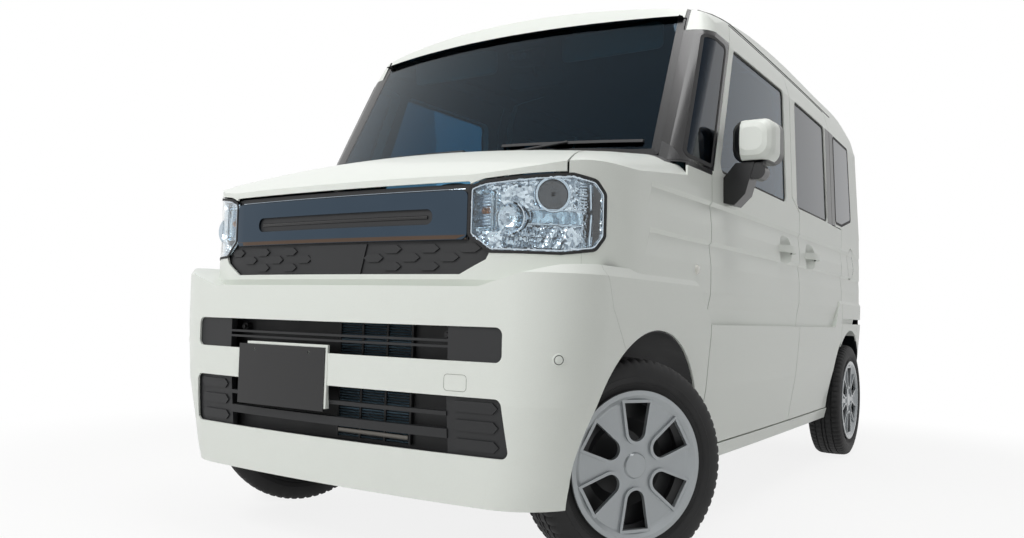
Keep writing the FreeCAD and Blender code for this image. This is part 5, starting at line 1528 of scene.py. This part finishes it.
@dataclass
class Studio:
    """Pale floor, soft lamps and the camera."""

    lens_mm: float = 30.03
    camera_at: tuple[float, float, float] = (1.614, -3.313, 0.650)
    yaw: float = 32.67
    pitch: float = 3.16
    roll: float = 1.56
    floor_half: float = 30.0
    even: float = 0.22
    lamps: tuple[Softbox, ...] = (
        Softbox("key", (-1.0, -5.5, 4.5), 2.5, 185), Softbox("fill", (6.0, -1.0, 2.6), 5.0, 4),
        Softbox("top", (1.3, -1.2, 5.5), 2.2, 85), Softbox("back", (-3.0, 6.5, 3.0), 5.0, 75))

    def camera(self) -> None:
        """Places the camera low beside the car's left front corner, tilted a little up."""
        yaw, pitch, roll = (math.radians(a) for a in (self.yaw, self.pitch, self.roll))
        ahead = Vector((-math.sin(yaw) * math.cos(pitch), math.cos(yaw) * math.cos(pitch), math.sin(pitch)))
        level = Vector((math.cos(yaw), math.sin(yaw), 0))
        up = level.cross(ahead)
        right = math.cos(roll) * level + math.sin(roll) * up
        above = math.cos(roll) * up - math.sin(roll) * level
        data = bpy.data.cameras.new("camera")
        data.lens = self.lens_mm
        made = to_scene("camera", data)
        made.matrix_world = Matrix.Translation(self.camera_at) @ Matrix((right, above, -ahead)).transposed().to_4x4()
        bpy.context.scene.camera = made

    def floor(self) -> None:
        """Lays the pale floor, which reads as white to the camera away from the car's shadow."""
        mesh = bpy.data.meshes.new("floor")
        corners = [(u * self.floor_half, v * self.floor_half, 0) for u, v in ((-1, -1), (1, -1), (1, 1), (-1, 1))]
        mesh.from_pydata(corners, [], [(0, 1, 2, 3)])
        to_scene("floor", mesh, StudioFloor("pale_studio_floor", "#F4F4F2", 0.8))

    def world(self) -> None:
        """Shows plain white to the camera, to gloss and through glass, and a low even light elsewhere."""
        world = bpy.data.worlds.new("studio")
        world.use_nodes = True
        tree = world.node_tree
        tree.nodes.clear()
        strength = add_node(tree, "MapRange", {"Value": seen_plainly(tree), "To Min": self.even, "To Max": 1.0})
        sky = add_node(tree, "Background", {"Color": (1, 1, 1, 1), "Strength": strength.outputs["Result"]})
        add_node(tree, "OutputWorld", {"Surface": sky.outputs[0]})
        bpy.context.scene.world = world

    def build(self) -> None:
        """Sets up the whole stage."""
        self.camera()
        self.floor()
        for lamp in self.lamps:
            lamp.hang()
        self.world()
        bpy.context.scene.view_settings.view_transform = "Standard"


# ---------------------------------------------------------------- dressing of the frame's nodes
# finish, then whole node names or beginnings of names ending in an underscore
DRESSING: tuple[tuple[Finish, tuple[str, ...]], ...] = (
    (PAINT, ("roof_panel", "bonnet", "front_bumper", "rear_bumper", "tailgate", "front_door_left", "front_door_right",
             "fuel_lid", "front_handle_", "sliding_handles")),
    (PILLAR_PAINT, ("sliding_doors", "body_side_", "front_fenders")),
    (MIRROR_PAINT, ("door_mirror_",)),
    (BLACK_GRAIN, ("wheel_liners", "cowl_tray", "grille_mesh", "bumper_ducts", "bumper_grilles", "dashboard",
                   "steering_wheel", "floor_pan", "wipers", "rear_wiper")),
    (GLOSS_BLACK, ("number_plate", "pillar_garnishes")),
    (WINDSCREEN_GLASS, ("windscreen",)),
    (PRIVACY_GLASS, ("side_glasses", "tailgate_glass")),
    (DOOR_GLASS, ("front_door_glass_",)),
    (LENS, ("headlamp_lenses",)),
    (RED_ACRYLIC, ("tail_lamps",)),
    # the grille bar's dark blue-grey is partly a painted reflection of sky and ground
    (SMOKED_CHROME_PAINTED_SKY, ("grille_bar",)),
    (LAMP_TRAY, ("headlamp_bowls",)),
    (STEEL_BLACK, ("wheel_front_", "wheel_rear_", "knuckle_", "front_subframe", "rear_beam", "fuel_tank")),
    (SILVER_PAINT, ("wheel_cover_",)),
    (RUBBER, ("tyre_",)),
    (RAW_STEEL, ("exhaust_pipe",)),
    (CAST, ("engine_block", "radiator")),
    (FABRIC, ("front_seats", "rear_seat")),
)


def dress_all() -> None:
    """Gives every node of the frame its finish."""
    for finish, names in DRESSING:
        for name, obj in frame["nodes"].items():
            if any(name == n or (n.endswith("_") and name.startswith(n)) for n in names):
                obj.data.materials.clear()
                obj.data.materials.append(finish.material())


def assemblies() -> list:
    """Returns the sub-assemblies in the order that they are built.

    Returns:
        One of each class, with its sizes.
    """
    return [Studio(), Glazing(), Headlamp(), Grille(), BumperFront(), BodySides(), *map(Mirror, Side),
            *[Tyre(end, side) for end in ("front", "rear") for side in Side],
            SeatRow("front_seats", 95, 585, -350, 540), SeatRow("rear_seat", 6, 460, 370, 545), Cabin(), Tail()]


def main() -> None:
    """Builds the sub-assemblies in order and reports each."""
    logging.basicConfig(level=logging.INFO, format="%(name)s: %(message)s")
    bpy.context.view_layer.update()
    dress_all()
    for assembly in assemblies():
        assembly.build()
        LOG.info("%s ready", type(assembly).__name__)


if __name__ == "__main__":
    main()
